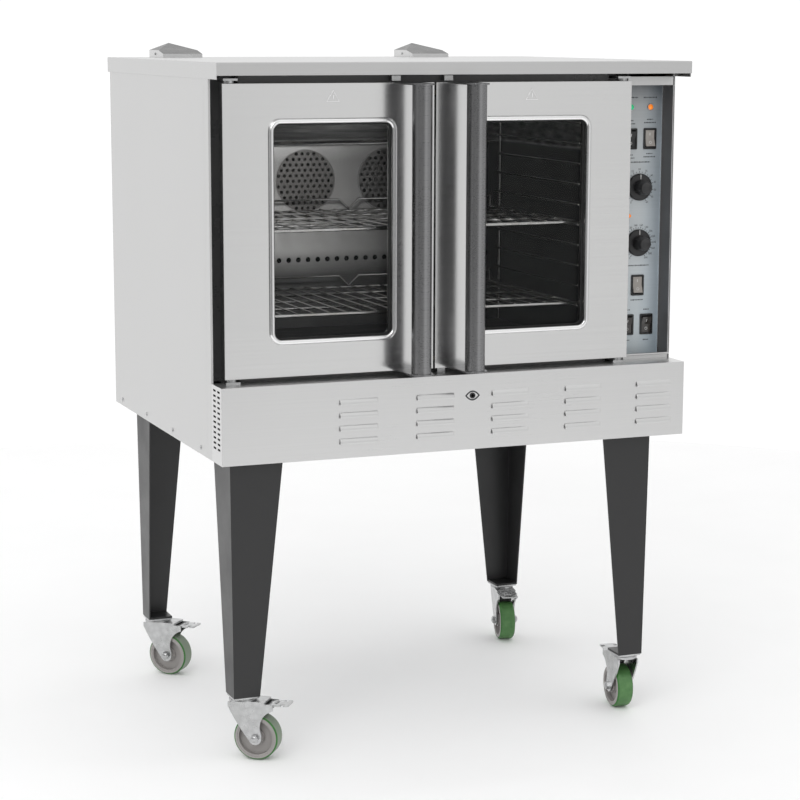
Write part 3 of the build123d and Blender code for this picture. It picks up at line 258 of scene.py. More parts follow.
def brushed(name, colour, rough, grain, contrast=0.02, relief=0.04):
    """Sheet steel brushed along one axis, with faint broad smears."""
    finish = Finish(name, 1.0, rough)
    across = {"X": (2, 420, 420), "Y": (420, 2, 420), "Z": (420, 420, 2)}[grain]
    lines = finish.noise(1.0, across, detail=4.0, roughness=0.7)
    smears = finish.noise(5.0, detail=5.0)
    tone = finish.ramp(lines, (0.3, scaled(colour, 1 - contrast)), (0.7, scaled(colour, 1 + contrast)))
    patch = finish.ramp(smears, (0.3, (0.97, 0.97, 0.972)), (0.7, grey(1.0)))
    finish.feed("Base Color", finish.mix(1.0, tone, patch, "MULTIPLY"))
    rubbed = finish.spread(lines, rough - 0.03, rough + 0.04)
    finish.feed("Roughness", finish.maths("ADD", rubbed, finish.spread(smears, -0.02, 0.03)))
    finish.bump(lines, relief, 0.0001, 0.0008)
    return finish.material


def spangled(name, colour, rough):
    """Galvanised or zinc-plated sheet: crystal patches and a dull bloom."""
    finish = Finish(name, 1.0, rough)
    cells = finish.node("ShaderNodeTexVoronoi", Vector=finish.coords, Scale=90.0)
    patch = finish.ramp(cells.outputs["Distance"], (0.0, scaled(colour, 1.08)), (0.8, scaled(colour, 0.88)))
    bloom = finish.noise(14.0, detail=6.0)
    mottled = finish.ramp(bloom, (0.35, (0.84, 0.84, 0.83)), (0.65, grey(1.0)))
    finish.feed("Base Color", finish.mix(1.0, patch, mottled, "MULTIPLY"))
    finish.feed("Roughness", finish.spread(bloom, rough - 0.08, rough + 0.1))
    finish.bump(bloom, 0.12, 0.0004, 0.0006)
    return finish.material


def coated(name, colour, rough, orange_peel=260.0, depth=0.0001, edge=0.0008, **sockets):
    """Powder coat, enamel or moulded plastic: fine peel and slight unevenness of tone."""
    finish = Finish(name, 0.0, rough, **sockets)
    peel = finish.noise(orange_peel, detail=2.0)
    uneven = finish.noise(9.0, detail=6.0)
    tone = finish.ramp(uneven, (0.3, scaled(colour, 0.88)), (0.7, scaled(colour, 1.12)))
    finish.feed("Base Color", tone)
    finish.feed("Roughness", finish.spread(uneven, rough - 0.06, rough + 0.08))
    finish.bump(peel, 0.25, depth, edge)
    return finish.material


def wired(name):
    """Bright plated wire, browned a little by heat."""
    finish = Finish(name, 1.0, 0.14)
    heat = finish.noise(22.0, detail=4.0)
    finish.feed("Base Color", finish.ramp(heat, (0.35, (0.62, 0.61, 0.58)), (0.65, grey(0.78))))
    finish.feed("Roughness", finish.spread(heat, 0.10, 0.2))
    finish.bump(finish.noise(500.0), 0.05, 0.00005)
    return finish.material


def lens(name, colour, glow):
    """Tinted pilot lamp lens, lit from inside."""
    finish = Finish(name, 0.0, 0.12, Emission_Strength=glow, Coat_Weight=0.6)
    facets = finish.node("ShaderNodeTexVoronoi", Vector=finish.coords, Scale=520.0).outputs["Distance"]
    finish.feed("Base Color", finish.ramp(facets, (0.0, scaled(colour, 0.6)), (0.7, colour)))
    finish.feed("Emission Color", finish.ramp(facets, (0.0, scaled(colour, 0.5)), (0.6, colour)))
    finish.bump(facets, 0.3, 0.0002)
    return finish.material


def window_glass(name):
    """Clear tempered pane with a faint smear."""
    finish = Finish(name, 0.0, 0.03, Alpha=0.07, IOR=1.5, Coat_Weight=0.1, Coat_Roughness=0.02)
    smear = finish.noise(7.0, (1, 1, 2.5), detail=6.0)
    finish.feed("Base Color", finish.ramp(smear, (0.3, (0.008, 0.009, 0.009)), (0.7, (0.014, 0.016, 0.016))))
    finish.feed("Roughness", finish.spread(smear, 0.015, 0.06))
    return finish.material


def fascia_sheet(name):
    """Printed control overlay in cool grey, with painted shade darkening it towards its top and its right."""
    finish = Finish(name, 0.35, 0.42)
    low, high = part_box("control_fascia")
    rise = finish.spread(finish.axis("Z"), 0.0, 1.0, low.z, high.z)
    # painted shade: the blue-grey darkens to near black at the top edge
    tone = finish.ramp(rise, (0.0, (0.56, 0.62, 0.65)), (0.35, (0.60, 0.64, 0.66)),
                       (0.75, (0.52, 0.55, 0.565)), (0.93, (0.42, 0.44, 0.45)), (1.0, (0.20, 0.21, 0.22)))
    # painted shade: a cool darkening towards the right, beside the recess wall
    rightward = finish.spread(finish.axis("X"), 0.0, 1.0, (low.x + high.x) / 2, high.x)
    shade = finish.mix(rightward, grey(1.0), (0.76, 0.83, 0.90))
    grain = finish.noise(1.0, (3, 300, 300))
    fine = finish.ramp(grain, (0.3, grey(0.93)), (0.7, grey(1.0)))
    # printed colour and grain, with the painted shade of tone in it
    printed = finish.mix(1.0, tone, fine, "MULTIPLY")
    finish.feed("Base Color", finish.mix(1.0, printed, shade, "MULTIPLY"))
    finish.feed("Roughness", finish.spread(grain, 0.36, 0.5))
    finish.bump(grain, 0.05, 0.0001)
    return finish.material


def baffle_sheet(name):
    """Dull grey fan baffle with soot stains, under painted light and shade: dark at its foot, pale from its
    middle up, dark in its intakes and near black at its right.
    """
    finish = Finish(name, 0.45, 0.36)
    low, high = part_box("fan_baffle")
    rise = finish.spread(finish.axis("Z"), 0.0, 1.0, low.z, high.z)
    # painted light and shade by height: dark at the foot, pale from the middle up
    tone = finish.ramp(rise, (0.0, grey(0.10)), (0.28, grey(0.16)), (0.42, (0.66, 0.66, 0.65)),
                       (0.9, (0.36, 0.36, 0.355)), (1.0, (0.62, 0.62, 0.61)))
    for hand in ("left", "right"):
        hub = JOINTS["fan_" + hand + "_spin"]["pos_m"]
        square = [finish.maths("POWER", finish.maths("SUBTRACT", finish.axis(axis), hub[index]), 2.0)
                  for axis, index in (("X", 0), ("Z", 2))]
        reach = finish.maths("SQRT", finish.maths("ADD", *square))
        # painted shade: the perforated intake discs are darkened
        inside = finish.spread(reach, 1.0, 0.0, INTAKE_RADIUS - 0.002, INTAKE_RADIUS)
        tone = finish.mix(inside, tone, (0.19, 0.185, 0.18))
    soot = finish.noise(6.0, detail=5.0)
    stains = finish.ramp(soot, (0.3, (0.72, 0.71, 0.70)), (0.7, grey(1.0)))
    # soot stains over a tone that carries painted light and shade
    mottled = finish.mix(1.0, tone, stains, "MULTIPLY")
    # painted shade: near black towards the baffle's right
    rightward = finish.spread(finish.axis("X"), 0.0, 1.0, low.x + 0.25, low.x + 0.52)
    finish.feed("Base Color", finish.mix(rightward, mottled, grey(0.012)))
    finish.feed("Roughness", finish.spread(soot, 0.28, 0.46))
    finish.bump(finish.noise(180.0), 0.1, 0.0002, 0.0008)
    return finish.material


def flue_steel(name):
    """Bright collars under a darker roof: faces that turn upwards are dark."""
    finish = Finish(name, 1.0, 0.3)
    facing = finish.node("ShaderNodeSeparateXYZ", Vector=finish.normal).outputs
    upward = finish.spread(facing["Z"], 0.0, 1.0, 0.4, 0.7)
    heat = finish.noise(30.0, detail=5.0)
    collar = finish.ramp(heat, (0.3, grey(0.60)), (0.7, grey(0.72)))
    roof = finish.ramp(heat, (0.3, grey(0.085)), (0.7, grey(0.15)))
    finish.feed("Base Color", finish.mix(upward, collar, roof))
    finish.feed("Roughness", finish.spread(heat, 0.24, 0.38))
    finish.bump(heat, 0.05, 0.0002, 0.0008)
    return finish.material


def cavity_enamel(name):
    """Black enamelled walls; the roof and the wall above the baffle are bare, streaky steel."""
    finish = Finish(name, 0.0, 0.4, Specular_IOR_Level=0.22)
    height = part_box("fan_baffle")[1].z
    above = finish.spread(finish.axis("Z"), 0.0, 1.0, height - 0.002, height + 0.004)
    streaks = finish.noise(6.0, (1.0, 4.0, 16.0), detail=6.0)
    bare = finish.ramp(streaks, (0.35, grey(0.17)), (0.6, (0.46, 0.46, 0.455)), (0.72, (0.85, 0.85, 0.84)))
    enamel = finish.ramp(finish.noise(9.0, detail=5.0), (0.3, grey(0.007)), (0.7, grey(0.013)))
    finish.feed("Base Color", finish.mix(above, enamel, bare))
    finish.feed("Metallic", above)
    finish.feed("Roughness", finish.spread(streaks, 0.3, 0.45))
    return finish.material


def tread(name, spin_axis, painted_sheen):
    """Green tyre with scuffed mottling: plain green on its sides, and on its rolling face greyed by a painted
    sheen, by the share given.
    """
    finish = Finish(name, 0.0, 0.42)
    facing = finish.maths("ABSOLUTE", cosine(finish.tree, finish.normal, spin_axis))
    side = finish.spread(facing, 0.0, 1.0, 0.2, 0.6)
    scuffs = finish.noise(70.0, detail=6.0)
    rolling_green = finish.ramp(scuffs, (0.3, (0.026, 0.135, 0.018)), (0.7, (0.07, 0.20, 0.05)))
    # painted sheen: the rolling face greyed towards pale grey by the given share
    rolled = finish.mix(painted_sheen, rolling_green, (0.24, 0.255, 0.225))
    side_green = finish.ramp(scuffs, (0.3, (0.016, 0.120, 0.012)), (0.7, (0.026, 0.165, 0.020)))
    finish.feed("Base Color", finish.mix(side, rolled, side_green))
    finish.feed("Roughness", finish.spread(scuffs, 0.34, 0.5))
    finish.bump(scuffs, 0.15, 0.0002, 0.0006)
    return finish.material


def woollen(name):
    """Mineral wool and woven seal."""
    finish = Finish(name, 0.0, 0.95, Sheen_Weight=0.4)
    fibres = finish.noise(240.0, (1, 1, 0.2), detail=8.0)
    finish.feed("Base Color", finish.ramp(fibres, (0.3, (0.42, 0.36, 0.22)), (0.7, (0.72, 0.66, 0.46))))
    finish.bump(fibres, 0.8, 0.001)
    return finish.material


STEEL = (0.685, 0.685, 0.682)
INTAKE_RADIUS = 0.066       # of the perforated discs in the fan baffle
BAFFLE_SHEET = 0.0015
LIP_RADIUS = 0.0018         # of the baffle's rolled top edge
LIP_DROP = 0.0012           # its middle below the baffle's top
stainless_door = brushed("stainless_door", STEEL, 0.17, "X", relief=0.008)
stainless_wide = brushed("stainless_wide", STEEL, 0.3, "X")
# side and top: the same steel with its tone dimmed as painted shade; their grain directions and roughness are
# their own
stainless_side = brushed("stainless_side", scaled(STEEL, 0.93), 0.36, "Z")
stainless_top = brushed("stainless_top", scaled(STEEL, 0.88), 0.3, "X")
# door liners: the steel darkened as painted shade inside the doors
stainless_inner = brushed("stainless_inner", scaled(STEEL, 0.6), 0.32, "Y")
# handles: the steel darkened to dark grey as painted shade for their dark reflections
stainless_tube = brushed("stainless_tube", (0.29, 0.29, 0.295), 0.28, "X", 0.06, 0.012)
# the steel brightened as a painted highlight, for beads, rolled edges and pressed marks
highlit_stainless = brushed("highlit_stainless", grey(0.90), 0.2, "Z", relief=0.008)
cavity_walls = cavity_enamel("cavity_enamel")
# front frame made near black as painted shade in the gaps round the doors
frame_painted_shade = coated("frame_painted_shade", (0.070, 0.070, 0.071), 0.3, 140.0)
# a near-black sheet as painted shade on the wall beside the fascia
recess_painted_shade = coated("recess_painted_shade", (0.085, 0.085, 0.087), 0.4, 140.0)
baffle_steel = baffle_sheet("baffle_steel")
flue_sheet = flue_steel("flue_sheet")
galvanised = spangled("galvanised", (0.55, 0.56, 0.57), 0.42)
zinc = spangled("zinc_plate", (0.60, 0.605, 0.61), 0.27)
wire = wired("plated_wire")
leg_paint = coated("leg_paint", (0.016, 0.016, 0.0165), 0.36)
cast = coated("cast_iron", (0.05, 0.048, 0.045), 0.75, 120.0, 0.0006)
motor_paint = coated("motor_paint", (0.06, 0.06, 0.065), 0.5)
hub_plastic = coated("hub_plastic", (0.30, 0.285, 0.275), 0.4, 180.0)
black_plastic = coated("black_plastic", (0.012, 0.012, 0.013), 0.3, 320.0, 0.00006, 0.0005)
knob_plastic = coated("knob_plastic", (0.02, 0.02, 0.021), 0.34, 380.0, 0.00006, 0.0004)
light_plastic = coated("light_plastic", (0.34, 0.315, 0.29), 0.32, 320.0, 0.00006, 0.0005)
smoked_plastic = coated("smoked_plastic", (0.045, 0.04, 0.037), 0.12, 320.0, 0.00004, 0.0005, Coat_Weight=0.5)
rubber = coated("black_rubber", grey(0.014), 0.7, 150.0, 0.0002)
mark_ink = coated("mark_ink", (0.03, 0.033, 0.036), 0.6, 600.0, 0.00002, 0.0)
white_ink = coated("white_ink", (0.62, 0.62, 0.61), 0.5, 600.0, 0.00002, 0.0)
green_lens = lens("green_lens", (0.02, 0.55, 0.22), 0.35)
orange_lens = lens("orange_lens", (1.0, 0.26, 0.02), 0.45)
glass = window_glass("window_glass")
fascia = fascia_sheet("fascia_overlay")
wool = woollen("mineral_wool")

FINISHES = {
    "cavity_liner": cavity_walls, "fan_baffle": baffle_steel, "rack_guides": wire, "upper_rack": wire,
    "lower_rack": wire, "front_frame": frame_painted_shade, "left_side_panel": stainless_side,
    "right_side_panel": stainless_side, "back_panel": galvanised, "top_cover": stainless_top,
    "base_pan": galvanised, "lower_front_panel": stainless_wide, "control_fascia": fascia,
    "front_trims": stainless_side, "flue_caps": flue_sheet, "fan_motors": motor_paint,
    "gas_burners": cast, "door_hardware": zinc, "panel_screws": zinc, "switch_bodies": black_plastic,
    "insulation": wool, "caster_plates": zinc, "fan_wheel_left": cast, "fan_wheel_right": cast,
    "rocker_upper_left": black_plastic, "rocker_upper_right": light_plastic, "rocker_middle": light_plastic,
    "rocker_lower_left": smoked_plastic, "rocker_lower_right": smoked_plastic,
    "timer_knob": knob_plastic, "thermostat_knob": knob_plastic, "pilot_lights": orange_lens,
}
for corner in CORNERS:
    FINISHES["leg_" + corner] = leg_paint
    FINISHES["caster_fork_" + corner] = zinc
    FINISHES["wheel_core_" + corner] = hub_plastic
    # painted sheen: strong on the left wheels' rolling faces, faint on the right ones
    FINISHES["wheel_tread_" + corner] = tread("tread_" + corner, JOINTS[f"wheel_{corner}_spin"]["axis"],
                                              0.7 if corner.endswith("left") else 0.1)
    FINISHES["brake_pedal_" + corner] = zinc
for hand in ("left", "right"):
    FINISHES[hand + "_door_shell"] = stainless_door
    FINISHES[hand + "_door_liner"] = stainless_inner
    FINISHES[hand + "_door_glass"] = glass
    FINISHES[hand + "_door_handle"] = stainless_tube
for node, material in FINISHES.items():
    target = frame["nodes"][node]
    target.data.materials.clear()
    target.data.materials.append(material)


# ---------------------------------------------------------------- controls
PRINT = 0.00015             # thickness of printed marks
CAPTION_PITCH = 0.0062      # between the rows of a caption
CAPTION_DROP = 0.031        # from a rocker's middle to its nearer caption
DASH_GAP = 0.0011
TICK_HALF = 0.0005          # half the width of a dial tick
TICK_START = 0.002          # outside the knob
LONG_TICK, SHORT_TICK = 0.0035, 0.0022
NUMBER_OUT, NUMBER_UP = 0.0095, 0.0085  # a dial number's middle outside the knob, sideways and upwards
NUMBER_SIZE = 0.0056
POINTER_HALF = 0.0008       # half the width of a knob's line
POINTER_BACK, POINTER_FRONT = 0.0066, 0.0074    # its faces in front of the fascia
ROCKER_TILT = 9             # degrees at rest
ROCKER_SLOPE = math.atan2(2.6, 16.2)    # of each half of its face
ROCKER_FACE = 0.0053        # in front of its pivot
LAMP_RADIUS = 0.007


def middle(node):
    """Centre of a CAD object's box."""
    low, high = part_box(node)
    return (low + high) / 2


def knob(node):
    """Skirted knob with a fluted grip and a white pointer line."""
    low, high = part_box(node)
    centre = Vector(((low.x + high.x) / 2, 0, (low.z + high.z) / 2))
    fascia_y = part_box("control_fascia")[0].y
    radius = (high.x - low.x) / 2
    length = fascia_y - low.y
    at = placed((centre.x, fascia_y, centre.z), FRONT, (0, 0, 1))
    skirt = [(0.0002, 0.0012), (radius, 0.0012), (radius, 0.004), (radius * 0.93, 0.0062),
             (radius * 0.70, 0.0070), (0.0002, 0.0072)]
    turned(node + ".skirt", skirt, at, 96, node, knob_plastic, "black_plastic")
    grip = [(0.0002, 0.0068), (radius * 0.56, 0.0068), (radius * 0.55, 0.010),
            (radius * 0.50, length * 0.72), (radius * 0.48, length - 0.0025),
            (radius * 0.44, length - 0.0006), (radius * 0.36, length - 0.0002),
            (radius * 0.30, length - 0.0012), (0.0002, length - 0.0014)]
    body = turned(node + ".grip", grip, at, 144, node, knob_plastic, "black_plastic",
                  ripple=0.022, ripples=24)
    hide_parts(node)
    bm = bmesh.new()
    slab(bm, (centre.x - POINTER_HALF, fascia_y - POINTER_FRONT, centre.z + radius * 0.60),
         (centre.x + POINTER_HALF, fascia_y - POINTER_BACK, centre.z + radius * 0.95))
    new_piece(node + ".pointer", bm, node, white_ink, "light_plastic", smooth=False)


def dial(node, ticks, numbers, sweep):
    """Printed ticks round a knob, with numbers at the longer ones."""
    centre = middle(node)
    fascia_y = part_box("control_fascia")[0].y
    radius = (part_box(node)[1].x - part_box(node)[0].x) / 2
    bm = bmesh.new()
    for i in range(ticks):
        angle = math.radians(90 + sweep / 2 - sweep * i / (ticks - 1))
        outward = Vector((math.cos(angle), 0, math.sin(angle)))
        across = Vector((-outward.z, 0, outward.x))
        start = Vector((centre.x, fascia_y, centre.z)) + outward * (radius + TICK_START)
        long = LONG_TICK if i % 2 == 0 else SHORT_TICK
        matrix = Matrix((outward, across, FRONT)).transposed().to_4x4()
        matrix.translation = start
        prism(bm, oblong(0, -TICK_HALF, long, TICK_HALF), matrix, PRINT)
    new_piece(node + ".ticks", bm, ROOT, mark_ink, "black_plastic", smooth=False)
    for i, number in enumerate(numbers):
        angle = math.radians(90 + sweep / 2 - sweep * i / (len(numbers) - 1))
        place = (centre.x + math.cos(angle) * (radius + NUMBER_OUT), fascia_y - 0.0001,
                 centre.z + math.sin(angle) * (radius + NUMBER_UP))
        letter(f"{node}.number_{i}", str(number), place, NUMBER_SIZE)


def letter(name, words, place, size):
    """Flat printed characters facing the viewer."""
    text = bpy.data.curves.new(name, "FONT")
    text.body = words
    text.size = size
    text.align_x = "CENTER"
    text.align_y = "CENTER"
    text.extrude = 0.00006
    text.resolution_u = 2
    shape = bpy.data.objects.new(name + ".text", text)
    bpy.context.scene.collection.objects.link(shape)
    bpy.context.view_layer.update()
    mesh = bpy.data.meshes.new_from_object(shape)
    bpy.data.objects.remove(shape)
    bm = bmesh.new()
    bm.from_mesh(mesh)
    bm.transform(Matrix.Translation(place) @ Matrix.Rotation(math.pi / 2, 4, "X"))
    new_piece(name, bm, ROOT, mark_ink, "black_plastic", smooth=False)


def caption_dashes(name, centre, rise, widths):
    """Generic printed caption: short bars where the real one has words."""
    fascia_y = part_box("control_fascia")[0].y
    bm = bmesh.new()
    for row, width in enumerate(widths):
        z = centre.z + rise - row * CAPTION_PITCH
        x = centre.x - width / 2
        while x < centre.x + width / 2 - 0.0008:
            dash = 0.0013 + 0.0012 * abs(math.sin(x * 9000))
            tall = 0.0015 - 0.0005 * abs(math.cos(x * 7000))
            end = min(x + dash, centre.x + width / 2)
            slab(bm, (x, fascia_y - PRINT, z - tall), (end, fascia_y, z + tall))
            x += dash + DASH_GAP
    new_piece(name, bm, ROOT, mark_ink, "black_plastic", smooth=False)


for name in ("timer_knob", "thermostat_knob"):
    knob(name)
dial("timer_knob", 25, range(0, 65, 5), 300)
dial("thermostat_knob", 31, range(0, 310, 20), 300)
caption_dashes("caption.timer", middle("timer_knob"), 0.050, (0.046,))
caption_dashes("caption.thermostat", middle("thermostat_knob"), -0.046, (0.050,))
for name, widths in (("rocker_upper_left", (0.014, 0.022)), ("rocker_upper_right", (0.014, 0.026)),
                     ("rocker_lower_left", (0.012,)), ("rocker_lower_right", (0.012,))):
    higher = CAPTION_DROP + CAPTION_PITCH * (len(widths) - 1)
    caption_dashes("caption." + name + ".above", middle(name), higher, widths)
    caption_dashes("caption." + name + ".below", middle(name), -CAPTION_DROP, widths)
caption_dashes("caption.rocker_middle", middle("rocker_middle"), -CAPTION_DROP, (0.028,))


def rocker_marks(node):
    """Moulded bar and ring on the two halves of a rocker's face."""
    low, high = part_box(node)
    joint = JOINTS[node + "_press"]
    pivot = Vector(joint["pos_m"])
    turn = math.radians(ROCKER_TILT) * (-1 if joint["axis"][0] > 0 else 1)
    spin = Matrix.Translation(pivot) @ Matrix.Rotation(turn, 4, "X")
    half = (high.z - low.z) / 2
    bm = bmesh.new()
    for sign in (1, -1):
        outward = (0, -math.cos(ROCKER_SLOPE), -sign * math.sin(ROCKER_SLOPE))
        face = spin @ placed((0, -ROCKER_FACE, sign * half * 0.52), outward, (1, 0, 0))
        if sign > 0:
            prism(bm, oblong(-0.0007, -0.0028, 0.0007, 0.0028), face, 0.0003)
        else:
            frame_ring(bm, rounded(0.006, 0.006, 0.003), rounded(0.0042, 0.0042, 0.0021), face, 0.0003)
    new_piece(node + ".marks", bm, node, white_ink, "light_plastic", smooth=False)


def pilot_lamps():
    """Chrome rings with domed lenses, in place of the plain lamps."""
    fascia_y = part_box("control_fascia")[0].y
    low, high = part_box("pilot_lights")
    big, little = LAMP_RADIUS, LAMP_RADIUS * 2 / 3
    spots = (("green", Vector((low.x + big, 0, high.z - big)), big, green_lens),
             ("orange", Vector((high.x - big, 0, high.z - big)), big, orange_lens),
             ("small", Vector((low.x + big, 0, low.z + little)), little, orange_lens))
    first = None
    for name, spot, radius, material in spots:
        at = placed((spot.x, fascia_y, spot.z), FRONT)
        ring = [(radius * 0.80, 0.0), (radius, 0.0), (radius, 0.0012), (radius * 0.92, 0.0019),
                (radius * 0.80, 0.0019)]
        turned("pilot_ring." + name, ring, at, 40, ROOT, zinc, "zinc")
        dome = [(0.0001, -0.012), (radius * 0.62, -0.012), (radius * 0.62, 0.0), (radius * 0.79, 0.0001),
                (radius * 0.79, 0.0016), (radius * 0.62, 0.0030), (radius * 0.35, 0.0037), (0.0001, 0.0039)]
        bulb = turned("pilot_lens." + name, dome, at, 40, ROOT, material, "lamp")
        first = first or bulb
        if radius == big:
            caption_dashes("caption." + name + "_lamp", spot, 0.019, (0.030,))
    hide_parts("pilot_lights")


pilot_lamps()
for place in ("upper_left", "upper_right", "middle", "lower_left", "lower_right"):
    rocker_marks("rocker_" + place)


def control_recess():
    """A near-black sheet on the wall beside the fascia as painted shade, and the fascia's folded edge in
    brightened steel as a painted highlight.
    """
    low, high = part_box("control_fascia")
    wall_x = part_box("right_side_panel")[0].x
    trim_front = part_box("front_trims")[0].y
    bm = bmesh.new()
    slab(bm, (wall_x - 0.0008, trim_front + 0.0006, low.z), (wall_x - 0.0001, high.y, high.z))
    new_piece("control_recess.cheek", bm, ROOT, recess_painted_shade, "black_plastic", smooth=False)
    bm = bmesh.new()
    slab(bm, (wall_x - 0.0042, low.y - 0.0022, low.z), (wall_x - 0.0009, low.y, high.z))
    new_piece("control_recess.edge", bm, ROOT, highlit_stainless, "stainless", smooth=False)


control_recess()


def intake_rims():
    """Thin rolled rim round each perforated disc of the baffle."""
    baffle_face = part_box("fan_baffle")[1].y - BAFFLE_SHEET
    for hand in ("left", "right"):
        hub = Vector(JOINTS["fan_" + hand + "_spin"]["pos_m"])
        rim = [(INTAKE_RADIUS + outward, rise)
               for outward, rise in ((-0.0012, 0.0), (0.0012, 0.0), (0.0006, 0.0011), (-0.0006, 0.0011))]
        at = placed((hub.x, baffle_face, hub.z), FRONT)
        turned("intake_rim." + hand, rim, at, 72, ROOT, baffle_steel, "stainless")


intake_rims()


def baffle_lip():
    """Rolled edge along the top of the baffle, in brightened steel as a painted highlight."""
    low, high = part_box("fan_baffle")
    bm = bmesh.new()
    turns = [math.radians(angle) for angle in range(0, 360, 30)]
    outline = [(LIP_RADIUS * math.cos(turn), LIP_RADIUS * math.sin(turn)) for turn in turns]
    prism(bm, outline, placed((low.x, low.y - LIP_RADIUS, high.z - LIP_DROP), (1, 0, 0)), high.x - low.x)
    new_piece("baffle_lip", bm, ROOT, highlit_stainless, "stainless")


baffle_lip()

# ---------------------------------------------------------------- doors
BEAD_WIDTH = 0.0100
BEAD_PROUD = 0.0042
BEAD_RADIUS = 0.024         # of its outer corners
PANE_FIT = 0.0002
PANE_RADIUS = 0.0118
GASKET_WIDTH = 0.0025
TRIM_PROUD = 0.002          # CAD window trim in front of a door's face
TRIANGLE_RADIUS = 0.0150
TRIANGLE_DROP = 0.0270      # its middle below the door's top
PRESSED = 0.0004            # depth of the pressed mark


def bead(bm, width, height, radius, matrix, steps=8):
    """A half-round moulding along the inside of a rounded rectangle."""
    rows = []
    for k in range(steps + 1):
        angle = math.pi * k / steps
        inset = BEAD_WIDTH * (1 - math.cos(angle)) / 2
        outline = rounded(width - 2 * inset, height - 2 * inset, radius - inset, 8)
        rows.append([bm.verts.new(matrix @ Vector((x, y, BEAD_PROUD * math.sin(angle)))) for x, y in outline])
    count = len(rows[0])
    for a, b in zip(rows, rows[1:] + rows[:1]):
        for i in range(count):
            j = (i + 1) % count
            bm.faces.new((a[i], a[j], b[j], b[i]))


def door_details(hand):
    """Rolled window bead, its rubber lip and the triangle pressed above it."""
    door = hand + "_door"
    pane_low, pane_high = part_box(hand + "_door_glass")
    shell_low, shell_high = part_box(hand + "_door_shell")
    centre = (pane_low + pane_high) / 2
    width, height = pane_high.x - pane_low.x, pane_high.z - pane_low.z
    face_at = placed((centre.x, shell_low.y, centre.z), FRONT, (1, 0, 0))
    bm = bmesh.new()
    beyond = 2 * (BEAD_WIDTH + PANE_FIT)
    bead(bm, width + beyond, height + beyond, BEAD_RADIUS, face_at)
    # painted highlight: the window bead in brightened steel
    new_piece(door + ".window_bead", bm, door, highlit_stainless, "stainless")
    pane_at = placed((centre.x, pane_low.y - PANE_FIT, centre.z), FRONT, (1, 0, 0))
    bm = bmesh.new()
    inside = rounded(width - 2 * GASKET_WIDTH, height - 2 * GASKET_WIDTH, PANE_RADIUS - GASKET_WIDTH)
    frame_ring(bm, rounded(width, height, PANE_RADIUS), inside, pane_at, 0.0028)
    new_piece(door + ".gasket", bm, door, rubber, "black_plastic")

    mark = Vector((centre.x, shell_low.y + TRIM_PROUD, shell_high.z - TRIANGLE_DROP))
    corners_at = [math.radians(angle) for angle in (90, 210, 330)]
    outer = [(TRIANGLE_RADIUS * math.cos(angle), TRIANGLE_RADIUS * math.sin(angle)) for angle in corners_at]
    inner = [(x * 0.84, y * 0.84) for x, y in outer]
    bm = bmesh.new()
    frame_ring(bm, outer, inner, placed(mark, FRONT, (1, 0, 0)), PRESSED)
    prism(bm, [(-0.0011, -0.0030), (0.0011, -0.0030), (0.0022, 0.0052), (-0.0006, 0.0052)],
          placed(mark, FRONT, (1, 0, 0)), PRESSED)
    # painted highlight: the pressed triangle in brightened steel
    new_piece(door + ".pressed_triangle", bm, door, highlit_stainless, "stainless", smooth=False)


for hand in ("left", "right"):
    door_details(hand)

# ---------------------------------------------------------------- casing details
SIGHT_X, SIGHT_RISE = 0.0218, 0.105     # the sight hole, above the lower panel's foot
FLUE_WIDTH = 0.085
SCREW_BACK, SCREW_RISE = 0.062, 0.0075  # a flue's screw, from the flue's front and the cover's top
cover_low, cover_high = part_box("top_cover")
panel_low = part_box("lower_front_panel")[0]
face_y = cover_low.y


def eye(half_width, half_height, steps=14):
    """Two arcs that meet in points left and right."""
    points = []
    for sign in (1, -1):
        for i in range(steps):
            t = i / steps
            points.append((sign * half_width * (1 - 2 * t), sign * half_height * (1 - (1 - 2 * t) ** 2)))
    return points


def sight_hole():
    """Rimmed sight hole with a plain printed oval round it."""
    hole = Vector((SIGHT_X, face_y, panel_low.z + SIGHT_RISE))
    at = placed(hole, FRONT, (1, 0, 0))
    rim = [(0.0030, -0.001), (0.0041, -0.001), (0.0058, 0.0), (0.0058, 0.0009), (0.0046, 0.0015),
           (0.0030, 0.0008)]
    turned("sight_hole.rim", rim, at, 32, ROOT, black_plastic, "black_plastic")
    outer, inner = eye(0.0155, 0.0098), eye(0.0118, 0.0070)
    bm = bmesh.new()
    frame_ring(bm, outer, inner, at, 0.0002)
    new_piece("sight_hole.oval", bm, ROOT, mark_ink, "black_plastic", smooth=False)


sight_hole()


def flue_screws():
    """Small pan screw in the side of each flue cap."""
    low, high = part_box("flue_caps")
    head = [(0.0001, -0.001), (0.0028, -0.001), (0.0030, 0.0008), (0.0018, 0.0019), (0.0001, 0.0021)]
    for index, x in enumerate((low.x, high.x - FLUE_WIDTH)):
        at = placed((x, low.y + SCREW_BACK, cover_high.z + SCREW_RISE), (-1, 0, 0))
        turned(f"flue_screw.{index}", head, at, 24, ROOT, zinc, "zinc")


flue_screws()


# ---------------------------------------------------------------- casters
WHEEL_HALF = 0.0165         # wheel's middle to its side
BOSS_ROOT = 0.0061          # wheel's middle to the foot of its boss
NUT_FACE = 0.0275           # wheel's middle to the outside of the axle's nuts
CORE_SHARE = 0.94           # of the wheel's radius that the core's lip reaches
BLOCK_WIDTH = 0.0248
BLOCK_BACK = 0.036          # from the swivel's axis to the brake block's middle


